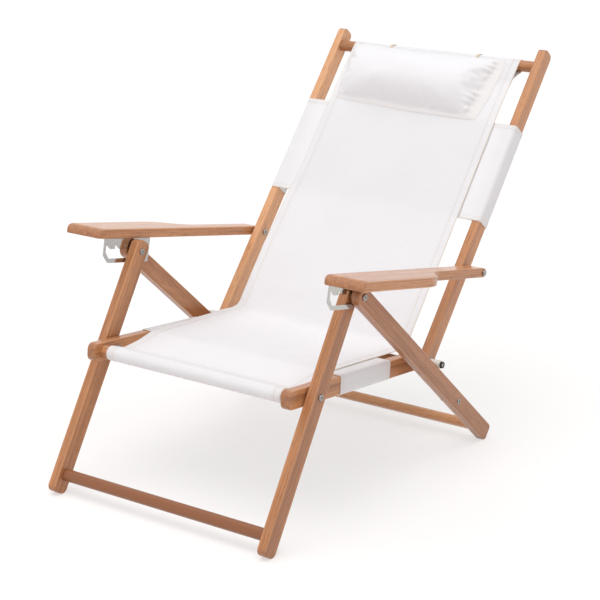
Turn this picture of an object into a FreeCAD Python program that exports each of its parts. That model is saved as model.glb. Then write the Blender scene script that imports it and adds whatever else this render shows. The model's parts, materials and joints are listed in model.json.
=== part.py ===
import FreeCAD, Part
import math
import os

os.makedirs("parts", exist_ok=True)

# Driving sizes, in millimetres and degrees.
# Side view of the folding frame: Y runs back, Z runs up, the floor is Z = 0.
apex_height = 428.0
front_foot_reach = 266.6
rear_foot_reach = 487.6
seat_pivot_below_apex = 197.3
back_pivot_behind_apex = 276.3
back_pivot_height = 219.0
arm_slope_deg = -11.6
arm_pivot_behind_apex = 410.4
arm_pivot_above_apex = 33.5
back_lean_deg = 50.4

# Wood stock
front_leg_width = 37.0
front_leg_thickness = 19.0
rear_leg_width = 36.0
rear_leg_thickness = 18.0
seat_rail_height = 36.0
seat_rail_thickness = 19.0
back_rail_width = 33.0
back_rail_thickness = 18.0
arm_thickness = 19.0
arm_width = 87.6
arm_tail_width = 39.2
crossbar_height = 24.0
crossbar_depth = 20.0
crossbar_corner_share = 0.46
front_dowel_radius = 13.0
rear_dowel_radius = 11.0
top_dowel_radius = 12.0
wood_edge_radius = 2.0
arm_edge_radius = 3.0

# Side to side layers
seat_rail_inner = 220.5
seat_to_leg_gap = 2.2
leg_to_leg_gap = 6.2
back_to_arm_gap = 2.5
bracket_to_rear_leg_gap = 1.7

# Lengths along the legs, rails and arms
front_leg_top = 22.0
front_leg_corner = 13.0
rear_leg_corner = 9.0
foot_trim = 1.0
seat_nose = 69.0
seat_nose_corner = 13.0
seat_tail = 19.0
back_tail = 18.0
back_rail_top = 717.0
back_top_corner = 10.0
front_crossbar_from_foot = 37.7
rear_crossbar_from_foot = 34.4
front_dowel_ahead = 40.1
rear_dowel_ahead = 40.0
top_dowel_below_top = 39.0
top_dowel_forward = 2.0
arm_front_bottom = 108.0
arm_front_top = 104.4
arm_front_corner = 2.5
arm_front_round_share = 0.98
arm_plan_corner = 9.0
arm_blank_extra = 2.0
arm_curve_start = 122.0
arm_curve_length = 116.0

# Tenons, pivots and fasteners
tenon_radius_front = 7.0
tenon_radius_dowel = 8.0
tenon_length = 12.0
tenon_clearance = 0.05
tenon_end_gap = 0.2
cut_past = 1.0
far_reach = 1500.0
running_clearance = 0.1
bolt_radius = 3.0
bolt_head_radius = 6.5
bolt_head_height = 3.0
bolt_head_round = 1.6
bolt_head_round_limit = 0.7
cross_recess_length = 6.0
cross_recess_width = 1.2
cross_recess_depth = 1.3
cap_nut_sleeve_radius = 4.0
cap_nut_sleeve_length = 12.0
cap_nut_floor = 2.0
washer_radius = 8.0
washer_clearance = 0.2
bracket_side_gap = 0.3
pin_radius = 4.0
pin_head_radius = 7.5
pin_washer_radius = 10.0
pin_sleeve_radius = 8.0
pin_sleeve_length = 24.0
pin_nut_height = 5.0
pin_end_recess = 0.5
nut_face_gap = 0.1
pin_nut_radius = 6.8
pin_washer_thickness = 2.0
pin_seat_clearance = 0.4
arm_nut_radius = 6.0
arm_nut_crown = 0.5
stop_peg_along = 468.0
stop_peg_radius = 7.0
stop_peg_length = 20.0
stop_screw_radius = 2.25
stop_screw_depth = 14.0
screw_tip_gap = 0.5
stop_screw_head_radius = 5.5
stop_screw_head_height = 2.5

# Notched steel bracket, measured along and square to the arm from the apex bolt
bracket_thickness = 2.0
bracket_nose = 5.65
bracket_rear = 48.0
bracket_bottom = 24.0
bracket_chamfer = 15.0
bracket_corner = 2.5
bracket_flange_width = 16.0
bracket_flange_set_in = 5.0
notch_count = 4
notch_pitch = 26.95
notch_depth = 9.0
notch_run = 13.5
notch_front_clearance = 0.5
notch_corner = 1.2
tooth_clearance = 0.4
slot_floor = 15.5
slot_front_slant = 11.0
slot_front_drop = 6.0
slot_corner = 1.5
tooth_corner = 0.6
gate_front = 4.5
gate_rear = 8.5
bracket_screw_positions = (-72.0, -38.0, 34.0)
bracket_screw_radius = 2.0
bracket_screw_length = 13.0
bracket_screw_head_radius = 3.8
bracket_screw_head_height = 1.6

# Canvas
canvas_thickness = 1.6
sling_half_width = 206.0
seat_sling_lift = 3.0
back_sling_lift = 4.5
sling_bend_radius = 85.0
sling_edge_radius = 60.0
sling_rise_end = 92.0
sling_back_drop = 560.0
sling_split_gap = 1.0
dowel_sleeve_clearance = 0.2
band_thickness = 1.2
band_clearance = 0.3
seat_band_front = 95.0
seat_band_rear = 267.0
back_band_low = 308.0
back_band_high = 531.0
pillow_half_length = 182.0
pillow_offset = -15.0
pillow_height = 138.0
pillow_below_dowel = 10.0
pillow_seam_forward = 27.0
pillow_crown = 46.0
pillow_back_crown = 4.5
# Share of the half length, of the crown and of the height at each pillow section
pillow_stations = (
    (0.0, 1.0, 1.0),
    (0.55, 0.97, 1.0),
    (0.82, 0.84, 0.97),
    (0.94, 0.56, 0.86),
    (1.0, 0.2, 0.62),
)
tie_half_spacing = 108.0
tie_width = 7.0
tie_thickness = 1.2
tie_clearance = 0.2
tie_tab_gap = 0.6
tie_tail = 30.0


# Two positions nearer than this count as the same
close = 0.001


# Plane geometry in the side view, as (y, z) pairs
def unit(angle_deg):
    angle = math.radians(angle_deg)
    return (math.cos(angle), math.sin(angle))


def move(start, direction, along, square=0.0):
    y = start[0] + direction[0] * along - direction[1] * square
    z = start[1] + direction[1] * along + direction[0] * square
    return (y, z)


def direction_between(start, end):
    length = math.hypot(end[0] - start[0], end[1] - start[1])
    return ((end[0] - start[0]) / length, (end[1] - start[1]) / length)


def side(point, x):
    return FreeCAD.Vector(x, point[0], point[1])


# A face with rounded corners; each corner is a point and its radius
def rounded_face(corners, place):
    count = len(corners)
    starts = []
    ends = []
    middles = []
    for i in range(count):
        before = corners[i - 1][0]
        here = corners[i][0]
        after = corners[(i + 1) % count][0]
        radius = corners[i][1]
        to_before = direction_between(here, before)
        to_after = direction_between(here, after)
        if radius <= 0.0:
            starts.append(here)
            ends.append(here)
            middles.append(None)
            continue
        cosine = to_before[0] * to_after[0] + to_before[1] * to_after[1]
        half = 0.5 * math.acos(max(-1.0, min(1.0, cosine)))
        reach = radius / math.tan(half)
        starts.append((here[0] + to_before[0] * reach, here[1] + to_before[1] * reach))
        ends.append((here[0] + to_after[0] * reach, here[1] + to_after[1] * reach))
        middle = (to_before[0] + to_after[0], to_before[1] + to_after[1])
        size = math.hypot(middle[0], middle[1])
        inset = radius / math.sin(half) - radius
        middles.append((here[0] + middle[0] / size * inset, here[1] + middle[1] / size * inset))
    edges = []
    for i in range(count):
        follow = (i + 1) % count
        if middles[i] is not None:
            edges.append(Part.Arc(place(starts[i]), place(middles[i]), place(ends[i])).toShape())
        if math.dist(ends[i], starts[follow]) > close:
            edges.append(Part.makeLine(place(ends[i]), place(starts[follow])))
    return Part.Face(Part.Wire(Part.__sortEdges__(edges)))


# A prism across the chair between two X positions
def across(corners, x_low, x_high):
    face = rounded_face(corners, lambda point: side(point, x_low))
    return face.extrude(FreeCAD.Vector(x_high - x_low, 0, 0))


def rod(radius, x_low, x_high, centre):
    return Part.makeCylinder(radius, x_high - x_low, side(centre, x_low), FreeCAD.Vector(1, 0, 0))


# A hole right through a piece that spans two X positions
def drilled(shape, radius, x_low, x_high, centre):
    return shape.cut(rod(radius, x_low - cut_past, x_high + cut_past, centre))


# A blind hole for a round tenon, from the face that looks to the middle
def mortised(shape, radius, x_face, centre):
    depth = tenon_length + tenon_end_gap
    return shape.cut(rod(radius + tenon_clearance, x_face - cut_past, x_face + depth, centre))


def tube(outer, inner, x_low, x_high, centre):
    return drilled(rod(outer, x_low, x_high, centre), inner, x_low, x_high, centre)


# Round the long edges of a prism, on the two faces that look left and right
def ease(solid, radius, x_low, x_high):
    chosen = []
    for edge in solid.Edges:
        xs = [vertex.X for vertex in edge.Vertexes]
        low = all(abs(x - x_low) < close for x in xs)
        high = all(abs(x - x_high) < close for x in xs)
        if low or high:
            chosen.append(edge)
    return solid.makeFillet(radius, chosen)


# A straight rail between two distances along its axis
def rail(start, direction, low, high, width, thickness, x_low, low_corner, high_corner):
    half = width / 2
    corners = [
        (move(start, direction, low, -half), low_corner),
        (move(start, direction, high, -half), high_corner),
        (move(start, direction, high, half), high_corner),
        (move(start, direction, low, half), low_corner),
    ]
    solid = across(corners, x_low, x_low + thickness)
    return ease(solid, wood_edge_radius, x_low, x_low + thickness)


def mirrored(shape):
    return shape.mirror(FreeCAD.Vector(0, 0, 0), FreeCAD.Vector(1, 0, 0))


def both_sides(shape):
    return Part.makeCompound([shape, mirrored(shape)])


# A pan head with a cross recess; facing is +1 when the head looks to +X
def pan_head(radius, height, x_base, facing, centre):
    x_low = min(x_base, x_base + facing * height)
    head = rod(radius, x_low, x_low + height, centre)
    x_top = x_base + facing * height
    rim = [edge for edge in head.Edges if all(abs(v.X - x_top) < close for v in edge.Vertexes)]
    head = head.makeFillet(min(bolt_head_round, height * bolt_head_round_limit), rim[:1])
    x_cut = x_top - cross_recess_depth if facing > 0 else x_top
    long_way = (cross_recess_length, cross_recess_width)
    for length_y, length_z in (long_way, long_way[::-1]):
        corner = FreeCAD.Vector(x_cut, centre[0] - length_y / 2, centre[1] - length_z / 2)
        head = head.cut(Part.makeBox(cross_recess_depth, length_y, length_z, corner))
    return head


def hexagon(radius, x_low, x_high, centre):
    corners = [(move(centre, unit(60.0 * i), radius), 0.0) for i in range(6)]
    return across(corners, x_low, x_high)


# Pivots and axes of the side view
apex = (0.0, apex_height)
front_direction = direction_between(apex, (-front_foot_reach, 0.0))
rear_direction = direction_between(apex, (rear_foot_reach, 0.0))
seat_pivot = move(apex, front_direction, seat_pivot_below_apex)
back_pivot = (back_pivot_behind_apex, back_pivot_height)
seat_direction = direction_between(seat_pivot, back_pivot)
seat_length = math.dist(seat_pivot, back_pivot)
back_direction = unit(back_lean_deg)
arm_direction = unit(arm_slope_deg)
arm_pivot = move(apex, arm_direction, arm_pivot_behind_apex, arm_pivot_above_apex)

# Layers from the middle outwards
seat_outer = seat_rail_inner + seat_rail_thickness
front_inner = seat_outer + seat_to_leg_gap
front_outer = front_inner + front_leg_thickness
rear_inner = front_outer + leg_to_leg_gap
rear_outer = rear_inner + rear_leg_thickness
back_inner = front_inner
back_outer = back_inner + back_rail_thickness
arm_inner = back_outer + back_to_arm_gap
arm_outer = arm_inner + arm_width
arm_tail_outer = arm_inner + arm_tail_width
bracket_outer = rear_inner - bracket_to_rear_leg_gap
bracket_inner = bracket_outer - bracket_thickness
arm_underside = arm_pivot_above_apex - arm_thickness / 2

nodes = {}


def add_pair(name, right_shape):
    nodes[name + "_right"] = right_shape
    nodes[name + "_left"] = mirrored(right_shape)


# Everything below the floor plane is trimmed off the feet
floor_corner = FreeCAD.Vector(-far_reach, -far_reach, -far_reach)
floor_block = Part.makeBox(2 * far_reach, 2 * far_reach, far_reach, floor_corner)


def leg_length(direction, width, corner):
    across_drop = abs(direction[0]) * (width / 2 - corner)
    return (apex_height + foot_trim - across_drop - corner) / abs(direction[1]) + corner


front_leg_length = leg_length(front_direction, front_leg_width, front_leg_corner)
rear_leg_length = leg_length(rear_direction, rear_leg_width, rear_leg_corner)

# Front legs and their crossbar
bolt_hole = bolt_radius + running_clearance
front_crossbar_centre = move(apex, front_direction, front_leg_length - front_crossbar_from_foot)
front_leg = rail(apex, front_direction, -front_leg_top, front_leg_length, front_leg_width,
                 front_leg_thickness, front_inner, front_leg_corner, front_leg_corner)
front_leg = front_leg.cut(floor_block)
front_leg = drilled(front_leg, bolt_hole, front_inner, front_outer, apex)
front_leg = drilled(front_leg, bolt_hole, front_inner, front_outer, seat_pivot)
front_leg = mortised(front_leg, tenon_radius_front, front_inner, front_crossbar_centre)
add_pair("front_leg", front_leg)


def crossbar(centre, direction, half_span):
    half_high = crossbar_height / 2
    half_deep = crossbar_depth / 2
    corner = crossbar_depth * crossbar_corner_share
    corners = [
        (move(centre, direction, -half_high, -half_deep), corner),
        (move(centre, direction, half_high, -half_deep), corner),
        (move(centre, direction, half_high, half_deep), corner),
        (move(centre, direction, -half_high, half_deep), corner),
    ]
    bar = across(corners, -half_span, half_span)
    return bar.fuse(rod(tenon_radius_front, -half_span - tenon_length, half_span + tenon_length, centre))


nodes["front_crossbar"] = crossbar(front_crossbar_centre, front_direction, front_inner)

# Rear legs, with a shallow seat for the back pivot sleeve, their crossbar and stop pegs
rear_crossbar_centre = move(apex, rear_direction, rear_leg_length - rear_crossbar_from_foot)
stop_peg_centre = move(apex, rear_direction, stop_peg_along)
stop_screw_hole = stop_screw_radius + tenon_clearance
rear_leg = rail(apex, rear_direction, -rear_leg_width / 2, rear_leg_length, rear_leg_width,
                rear_leg_thickness, rear_inner, rear_leg_width / 2, rear_leg_corner)
rear_leg = rear_leg.cut(floor_block)
rear_leg = drilled(rear_leg, cap_nut_sleeve_radius + running_clearance, rear_inner, rear_outer, apex)
rear_leg = drilled(rear_leg, pin_sleeve_radius + pin_seat_clearance, rear_inner, rear_outer, back_pivot)
rear_leg = drilled(rear_leg, stop_screw_hole, rear_inner, rear_outer, stop_peg_centre)
rear_leg = mortised(rear_leg, tenon_radius_front, rear_inner, rear_crossbar_centre)
add_pair("rear_leg", rear_leg)
nodes["rear_crossbar"] = crossbar(rear_crossbar_centre, rear_direction, rear_inner)

stop_screw_tip = rear_inner - stop_screw_depth
stop_peg = rod(stop_peg_radius, rear_inner - stop_peg_length, rear_inner, stop_peg_centre)
stop_peg = stop_peg.cut(rod(stop_screw_hole, stop_screw_tip - screw_tip_gap, rear_outer, stop_peg_centre))
nodes["stop_pegs"] = both_sides(stop_peg)
stop_screw = pan_head(stop_screw_head_radius, stop_screw_head_height, rear_outer, 1, stop_peg_centre)
stop_screw = stop_screw.fuse(rod(stop_screw_radius, stop_screw_tip, rear_outer, stop_peg_centre))
nodes["stop_screws"] = both_sides(stop_screw)

# Seat rails and the two dowels between them
front_dowel_centre = move(seat_pivot, seat_direction, -front_dowel_ahead)
rear_dowel_centre = move(seat_pivot, seat_direction, seat_length - rear_dowel_ahead)
seat_rail = rail(seat_pivot, seat_direction, -seat_nose, seat_length + seat_tail, seat_rail_height,
                 seat_rail_thickness, seat_rail_inner, seat_nose_corner, seat_nose_corner)
seat_rail = drilled(seat_rail, bolt_hole, seat_rail_inner, seat_outer, seat_pivot)
seat_rail = drilled(seat_rail, pin_radius + running_clearance, seat_rail_inner, seat_outer, back_pivot)
for dowel_centre in (front_dowel_centre, rear_dowel_centre):
    seat_rail = mortised(seat_rail, tenon_radius_dowel, seat_rail_inner, dowel_centre)
add_pair("seat_rail", seat_rail)


def dowel(radius, half_span, centre):
    shaft = rod(radius, -half_span, half_span, centre)
    return shaft.fuse(rod(tenon_radius_dowel, -half_span - tenon_length, half_span + tenon_length, centre))


nodes["seat_front_dowel"] = dowel(front_dowel_radius, seat_rail_inner, front_dowel_centre)
nodes["seat_rear_dowel"] = dowel(rear_dowel_radius, seat_rail_inner, rear_dowel_centre)

# Back rails and the top dowel
top_dowel_along = back_rail_top - top_dowel_below_top
top_dowel_centre = move(back_pivot, back_direction, top_dowel_along, top_dowel_forward)
back_rail = rail(back_pivot, back_direction, -back_tail, back_rail_top, back_rail_width,
                 back_rail_thickness, back_inner, back_rail_width / 2, back_top_corner)
back_rail = drilled(back_rail, pin_radius + running_clearance, back_inner, back_outer, back_pivot)
back_rail = drilled(back_rail, bolt_hole, back_inner, back_outer, arm_pivot)
back_rail = mortised(back_rail, tenon_radius_dowel, back_inner, top_dowel_centre)
add_pair("back_rail", back_rail)
nodes["back_top_dowel"] = dowel(top_dowel_radius, back_inner, top_dowel_centre)


# Arms: the plan outline with its curved step, trimmed by the side outline
def arm_point(along, square):
    return move(apex, arm_direction, along, square)


def arm_plan(along, x, square):
    point = arm_point(along, square)
    return side(point, x)


arm_length_rear = arm_pivot_behind_apex + arm_thickness / 2
plan_front = -arm_front_bottom - arm_blank_extra
plan_rear = arm_length_rear + arm_blank_extra
step = arm_width - arm_tail_width
curve_middle = arm_curve_start + arm_curve_length / 2
half_angle = math.atan(step / arm_curve_length)
curve_radius = arm_curve_length / 2 / math.sin(2 * half_angle)
curve_end = arm_curve_start + arm_curve_length
plan_corners = [
    ((plan_front, arm_inner), arm_plan_corner),
    ((plan_rear, arm_inner), 0.0),
    ((plan_rear, arm_tail_outer), 0.0),
    ((curve_end - curve_radius * math.tan(half_angle), arm_tail_outer), curve_radius),
    ((arm_curve_start + curve_radius * math.tan(half_angle), arm_outer), curve_radius),
    ((plan_front, arm_outer), arm_plan_corner),
]
plan_face = rounded_face(plan_corners, lambda point: arm_plan(point[0], point[1], arm_underside))
thickness_vector = FreeCAD.Vector(0, -arm_direction[1] * arm_thickness, arm_direction[0] * arm_thickness)
board = plan_face.extrude(thickness_vector)
long_edges = []
for edge in board.Edges:
    middle = edge.valueAt((edge.FirstParameter + edge.LastParameter) / 2)
    heights = []
    for point in [vertex.Point for vertex in edge.Vertexes] + [middle]:
        offset = (point.y - apex[0], point.z - apex[1])
        heights.append(-offset[0] * arm_direction[1] + offset[1] * arm_direction[0])
    level = max(heights) - min(heights) < close
    at_rear = all(vertex.Y > arm_pivot[0] for vertex in edge.Vertexes)
    if level and not at_rear:
        long_edges.append(edge)
board = board.makeFillet(arm_edge_radius, long_edges)
arm_top = arm_underside + arm_thickness
side_corners = [
    (arm_point(-arm_front_bottom, arm_underside), arm_front_corner),
    (arm_point(arm_length_rear, arm_underside), arm_thickness / 2),
    (arm_point(arm_length_rear, arm_top), arm_thickness / 2),
    (arm_point(-arm_front_top, arm_top), arm_thickness * arm_front_round_share),
]
arm = board.common(across(side_corners, arm_inner - cut_past, arm_outer + cut_past))
arm = drilled(arm, bolt_hole, arm_inner, arm_tail_outer, arm_pivot)
screw_up = FreeCAD.Vector(0, -arm_direction[1], arm_direction[0])
flange_middle = bracket_outer + bracket_flange_width / 2
screw_hole = bracket_screw_radius + tenon_clearance


def upright_rod(radius, along, low, high):
    base = arm_plan(along, flange_middle, low)
    return Part.makeCylinder(radius, high - low, base, screw_up)


for along in bracket_screw_positions:
    screw_top = arm_underside - bracket_thickness + bracket_screw_length
    arm = arm.cut(upright_rod(screw_hole, along, arm_underside - cut_past, screw_top + screw_tip_gap))
add_pair("arm", arm)

# Notched brackets: a slot under each arm with notches in its upper edge and a gate in its floor
tooth_level = bolt_radius + tooth_clearance
notch_level = tooth_level + notch_depth
wall = bolt_radius + notch_front_clearance
slot_corners = []
last = notch_count - 1
slot_front = -last * notch_pitch - wall
slot_corners.append((arm_point(slot_front + slot_front_slant, -slot_floor), slot_corner))
slot_corners.append((arm_point(slot_front, tooth_level - slot_front_drop), slot_corner))
for i in range(last, -1, -1):
    centre_along = -i * notch_pitch
    if i < last:
        slot_corners.append((arm_point(centre_along - wall, tooth_level), tooth_corner))
    slot_corners.append((arm_point(centre_along - wall, notch_level), notch_corner))
    if i > 0:
        slot_corners.append((arm_point(centre_along - wall + notch_run, tooth_level), tooth_corner))
slot_corners.append((arm_point(gate_rear, tooth_level), slot_corner))
slot_corners.append((arm_point(gate_rear, -bracket_bottom - cut_past), 0.0))
slot_corners.append((arm_point(-gate_front, -bracket_bottom - cut_past), 0.0))
slot_corners.append((arm_point(-gate_front, -slot_floor), slot_corner))
bracket_front = last * notch_pitch + wall + bracket_nose
web_corners = [
    (arm_point(-bracket_front, arm_underside), 0.0),
    (arm_point(bracket_rear, arm_underside), 0.0),
    (arm_point(bracket_rear, -bracket_bottom), bracket_corner),
    (arm_point(-bracket_front + bracket_chamfer, -bracket_bottom), bracket_corner),
    (arm_point(-bracket_front, -bracket_bottom + bracket_chamfer), bracket_corner),
]
web = across(web_corners, bracket_inner, bracket_outer)
web = web.cut(across(slot_corners, bracket_inner - cut_past, bracket_outer + cut_past))
flange_low = arm_underside - bracket_thickness
flange_corners = [
    (arm_point(-bracket_front + bracket_flange_set_in, flange_low), 0.0),
    (arm_point(bracket_rear - bracket_flange_set_in, flange_low), 0.0),
    (arm_point(bracket_rear - bracket_flange_set_in, arm_underside), 0.0),
    (arm_point(-bracket_front + bracket_flange_set_in, arm_underside), 0.0),
]
flange = across(flange_corners, bracket_outer - bracket_thickness, bracket_outer + bracket_flange_width)
bracket = web.fuse(flange).removeSplitter()
bracket_screws = []
for along in bracket_screw_positions:
    screw_top = flange_low + bracket_screw_length
    bracket = bracket.cut(upright_rod(screw_hole, along, flange_low - cut_past, arm_underside + cut_past))
    head = upright_rod(bracket_screw_head_radius, along, flange_low - bracket_screw_head_height, flange_low)
    bracket_screws.append(head.fuse(upright_rod(bracket_screw_radius, along, flange_low, screw_top)))
add_pair("notch_bracket", bracket)
add_pair("bracket_screws", Part.makeCompound(bracket_screws))

# Apex bolts: a pan head inside each front leg and a sleeved cap nut outside each rear leg
bolt_end = rear_outer - cap_nut_floor
nut_mouth = rear_outer - cap_nut_sleeve_length
apex_bolt = pan_head(bolt_head_radius, bolt_head_height, front_inner, -1, apex)
apex_bolt = apex_bolt.fuse(rod(bolt_radius, front_inner, bolt_end - screw_tip_gap, apex))
nodes["apex_bolts"] = both_sides(apex_bolt)
apex_nut = pan_head(bolt_head_radius, bolt_head_height, rear_outer, 1, apex)
apex_nut = apex_nut.fuse(rod(cap_nut_sleeve_radius, nut_mouth, rear_outer, apex))
apex_nut = apex_nut.cut(rod(bolt_radius + tenon_clearance, nut_mouth - cut_past, bolt_end, apex))
nodes["apex_nuts"] = both_sides(apex_nut)


# A washer that fills the gap between two faces, with a little play on each side
def washer(radius, bore, x_low, x_high, centre):
    return tube(radius, bore, x_low + washer_clearance, x_high - washer_clearance, centre)


washers_in = washer(washer_radius, bolt_hole, front_outer, bracket_inner - bracket_side_gap, apex)
washers_out = washer(washer_radius, bolt_hole, bracket_outer + bracket_side_gap, rear_inner, apex)
nodes["apex_washers"] = both_sides(Part.makeCompound([washers_in, washers_out]))

# Seat pivot bolts through the front legs and seat rails
seat_bolt = pan_head(bolt_head_radius, bolt_head_height, front_outer, 1, seat_pivot)
seat_bolt = seat_bolt.fuse(rod(bolt_radius, seat_rail_inner, front_outer, seat_pivot))
nodes["seat_pivot_bolts"] = both_sides(seat_bolt)
seat_nut = pan_head(bolt_head_radius, bolt_head_height, seat_rail_inner - washer_clearance, -1, seat_pivot)
nodes["seat_pivot_nuts"] = both_sides(seat_nut)
seat_washer = washer(washer_radius, bolt_hole, seat_outer, front_inner, seat_pivot)
nodes["seat_pivot_washers"] = both_sides(seat_washer)

# Back pivot pins through the seat rails and back rails, with a sleeve that rests on each rear leg
sleeve_start = back_outer + washer_clearance + pin_washer_thickness + washer_clearance
sleeve_end = sleeve_start + pin_sleeve_length
pin_start = seat_rail_inner - washer_clearance
pin_end = sleeve_end + pin_nut_height
pin_bore = pin_radius + running_clearance
pin = pan_head(pin_head_radius, bolt_head_height, pin_start, -1, back_pivot)
pin = pin.fuse(rod(pin_radius, pin_start, pin_end - pin_end_recess, back_pivot))
nodes["back_pivot_pins"] = both_sides(pin)
pin_washers = []
for low_face, high_face in ((seat_outer, back_inner), (back_outer, sleeve_start)):
    pin_washers.append(washer(pin_washer_radius, pin_bore, low_face, high_face, back_pivot))
nodes["back_pivot_washers"] = both_sides(Part.makeCompound(pin_washers))
pin_sleeve = tube(pin_sleeve_radius, pin_bore, sleeve_start, sleeve_end, back_pivot)
nodes["back_pivot_sleeves"] = both_sides(pin_sleeve)
pin_nut = hexagon(pin_nut_radius, sleeve_end + nut_face_gap, pin_end, back_pivot)
pin_nut = drilled(pin_nut, pin_radius + tenon_clearance, sleeve_end, pin_end, back_pivot)
nodes["back_pivot_nuts"] = both_sides(pin_nut)

# Arm pivot bolts through the back rails and arm tails
nut_base = arm_tail_outer + washer_clearance
nut_inside = nut_base + bolt_head_height - arm_nut_crown
arm_bolt = pan_head(bolt_head_radius, bolt_head_height, back_inner - washer_clearance, -1, arm_pivot)
arm_bolt_end = nut_inside - nut_face_gap
arm_bolt = arm_bolt.fuse(rod(bolt_radius, back_inner - washer_clearance, arm_bolt_end, arm_pivot))
nodes["arm_pivot_bolts"] = both_sides(arm_bolt)
arm_washer = washer(washer_radius, bolt_hole, back_outer, arm_inner, arm_pivot)
nodes["arm_pivot_washers"] = both_sides(arm_washer)
arm_nut = rod(arm_nut_radius, nut_base, nut_base + bolt_head_height, arm_pivot)
arm_nut = arm_nut.cut(rod(bolt_radius + tenon_clearance, nut_base - cut_past, nut_inside, arm_pivot))
nodes["arm_pivot_nuts"] = both_sides(arm_nut)


# Canvas sling: one strip from the front dowel over the seat and up to the top dowel, split at the bend
def seat_point(along, above):
    return move(seat_pivot, seat_direction, along, above)


def back_point(along, forward):
    return move(back_pivot, back_direction, along, forward)


def line_crossing(start_a, direction_a, start_b, direction_b):
    gap = (start_b[0] - start_a[0], start_b[1] - start_a[1])
    turn = direction_a[0] * direction_b[1] - direction_a[1] * direction_b[0]
    distance = (gap[0] * direction_b[1] - gap[1] * direction_b[0]) / turn
    return (start_a[0] + direction_a[0] * distance, start_a[1] + direction_a[1] * distance)


# Corners of the strip's upper or lower surface, offset to one side of its centre line
def offset_line(points, shift):
    result = []
    for i in range(len(points)):
        if i == 0:
            direction = direction_between(points[0], points[1])
            result.append(move(points[0], direction, 0.0, shift))
        elif i == len(points) - 1:
            direction = direction_between(points[-2], points[-1])
            result.append(move(points[-1], direction, 0.0, shift))
        else:
            first = direction_between(points[i - 1], points[i])
            second = direction_between(points[i], points[i + 1])
            start = move(points[i], first, 0.0, shift)
            result.append(line_crossing(start, first, move(points[i], second, 0.0, shift), second))
    return result


seat_level = seat_rail_height / 2 + seat_sling_lift
back_level = back_rail_width / 2 + back_sling_lift
front_ring = front_dowel_radius + dowel_sleeve_clearance + canvas_thickness / 2
top_ring = top_dowel_radius + dowel_sleeve_clearance + canvas_thickness / 2
sling_front = seat_point(-front_dowel_ahead, front_ring)
sling_rise = seat_point(sling_rise_end, seat_level)
seat_line = seat_point(0.0, seat_level)
back_line = back_point(0.0, back_level)
bend_corner = line_crossing(seat_line, seat_direction, back_line, back_direction)
sling_drop = back_point(sling_back_drop, back_level)
sling_top = back_point(top_dowel_along, top_dowel_forward + top_ring)
centre_line = [sling_front, sling_rise, bend_corner, sling_drop, sling_top]
bends = [0.0, sling_edge_radius, sling_bend_radius, sling_edge_radius, 0.0]
half_cloth = canvas_thickness / 2
upper = offset_line(centre_line, half_cloth)
lower = offset_line(centre_line, -half_cloth)
strip_corners = []
for i in range(5):
    turn_in = 1.0 if i == 2 else -1.0
    strip_corners.append((upper[i], bends[i] - turn_in * half_cloth if bends[i] > 0 else 0.0))
for i in range(4, -1, -1):
    turn_in = 1.0 if i == 2 else -1.0
    strip_corners.append((lower[i], bends[i] + turn_in * half_cloth if bends[i] > 0 else 0.0))
sling = across(strip_corners, -sling_half_width, sling_half_width)


# A hem sewn round a dowel
def hem(ring, centre):
    return tube(ring + half_cloth, ring - half_cloth, -sling_half_width, sling_half_width, centre)


front_sleeve = hem(front_ring, front_dowel_centre)
top_sleeve = hem(top_ring, top_dowel_centre)
split_direction = direction_between(back_pivot, bend_corner)
split_half = sling_split_gap / 2


def half_plane(sign):
    corners = [
        (move(back_pivot, split_direction, -far_reach, sign * split_half), 0.0),
        (move(back_pivot, split_direction, far_reach, sign * split_half), 0.0),
        (move(back_pivot, split_direction, far_reach, sign * far_reach), 0.0),
        (move(back_pivot, split_direction, -far_reach, sign * far_reach), 0.0),
    ]
    return across(corners, -sling_half_width - cut_past, sling_half_width + cut_past)


nodes["sling_seat"] = sling.common(half_plane(1)).fuse(front_sleeve).removeSplitter()
nodes["sling_back"] = sling.common(half_plane(-1)).fuse(top_sleeve).removeSplitter()


# Canvas bands: a web across the chair with a sleeve round each rail
def band(start, direction, low, high, half_width, x_low, x_high):
    inside = half_width + band_clearance
    outside = inside + band_thickness

    def block(square_low, square_high, block_low, block_high):
        corners = [
            (move(start, direction, low, square_low), 0.0),
            (move(start, direction, high, square_low), 0.0),
            (move(start, direction, high, square_high), 0.0),
            (move(start, direction, low, square_high), 0.0),
        ]
        return across(corners, block_low, block_high)

    grow = band_clearance + band_thickness
    sleeve = block(-outside, outside, x_low - grow, x_high + grow)
    sleeve = sleeve.cut(block(-inside, inside, x_low - band_clearance, x_high + band_clearance))
    web_strip = block(inside, outside, -x_low, x_low)
    return web_strip.fuse([sleeve, mirrored(sleeve)]).removeSplitter()


nodes["seat_band"] = band(seat_pivot, seat_direction, seat_band_front, seat_band_rear, seat_rail_height / 2,
                          seat_rail_inner, seat_outer)
nodes["back_band"] = band(back_pivot, back_direction, back_band_low, back_band_high, back_rail_width / 2,
                          back_inner, back_outer)


# Head pillow: lens sections that thin out and draw in towards both ends
pillow_high = top_dowel_along - pillow_below_dowel
pillow_low = pillow_high - pillow_height


def pillow_section(x, plump, tall):
    middle_along = (pillow_low + pillow_high) / 2
    half_tall = (pillow_high - pillow_low) / 2 * tall
    low = side(back_point(middle_along - half_tall, pillow_seam_forward), x)
    high = side(back_point(middle_along + half_tall, pillow_seam_forward), x)
    front = side(back_point(middle_along, pillow_seam_forward + pillow_crown * plump), x)
    rear = side(back_point(middle_along, pillow_seam_forward - pillow_back_crown * plump), x)
    return Part.Wire([Part.Arc(low, front, high).toShape(), Part.Arc(high, rear, low).toShape()])


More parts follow.
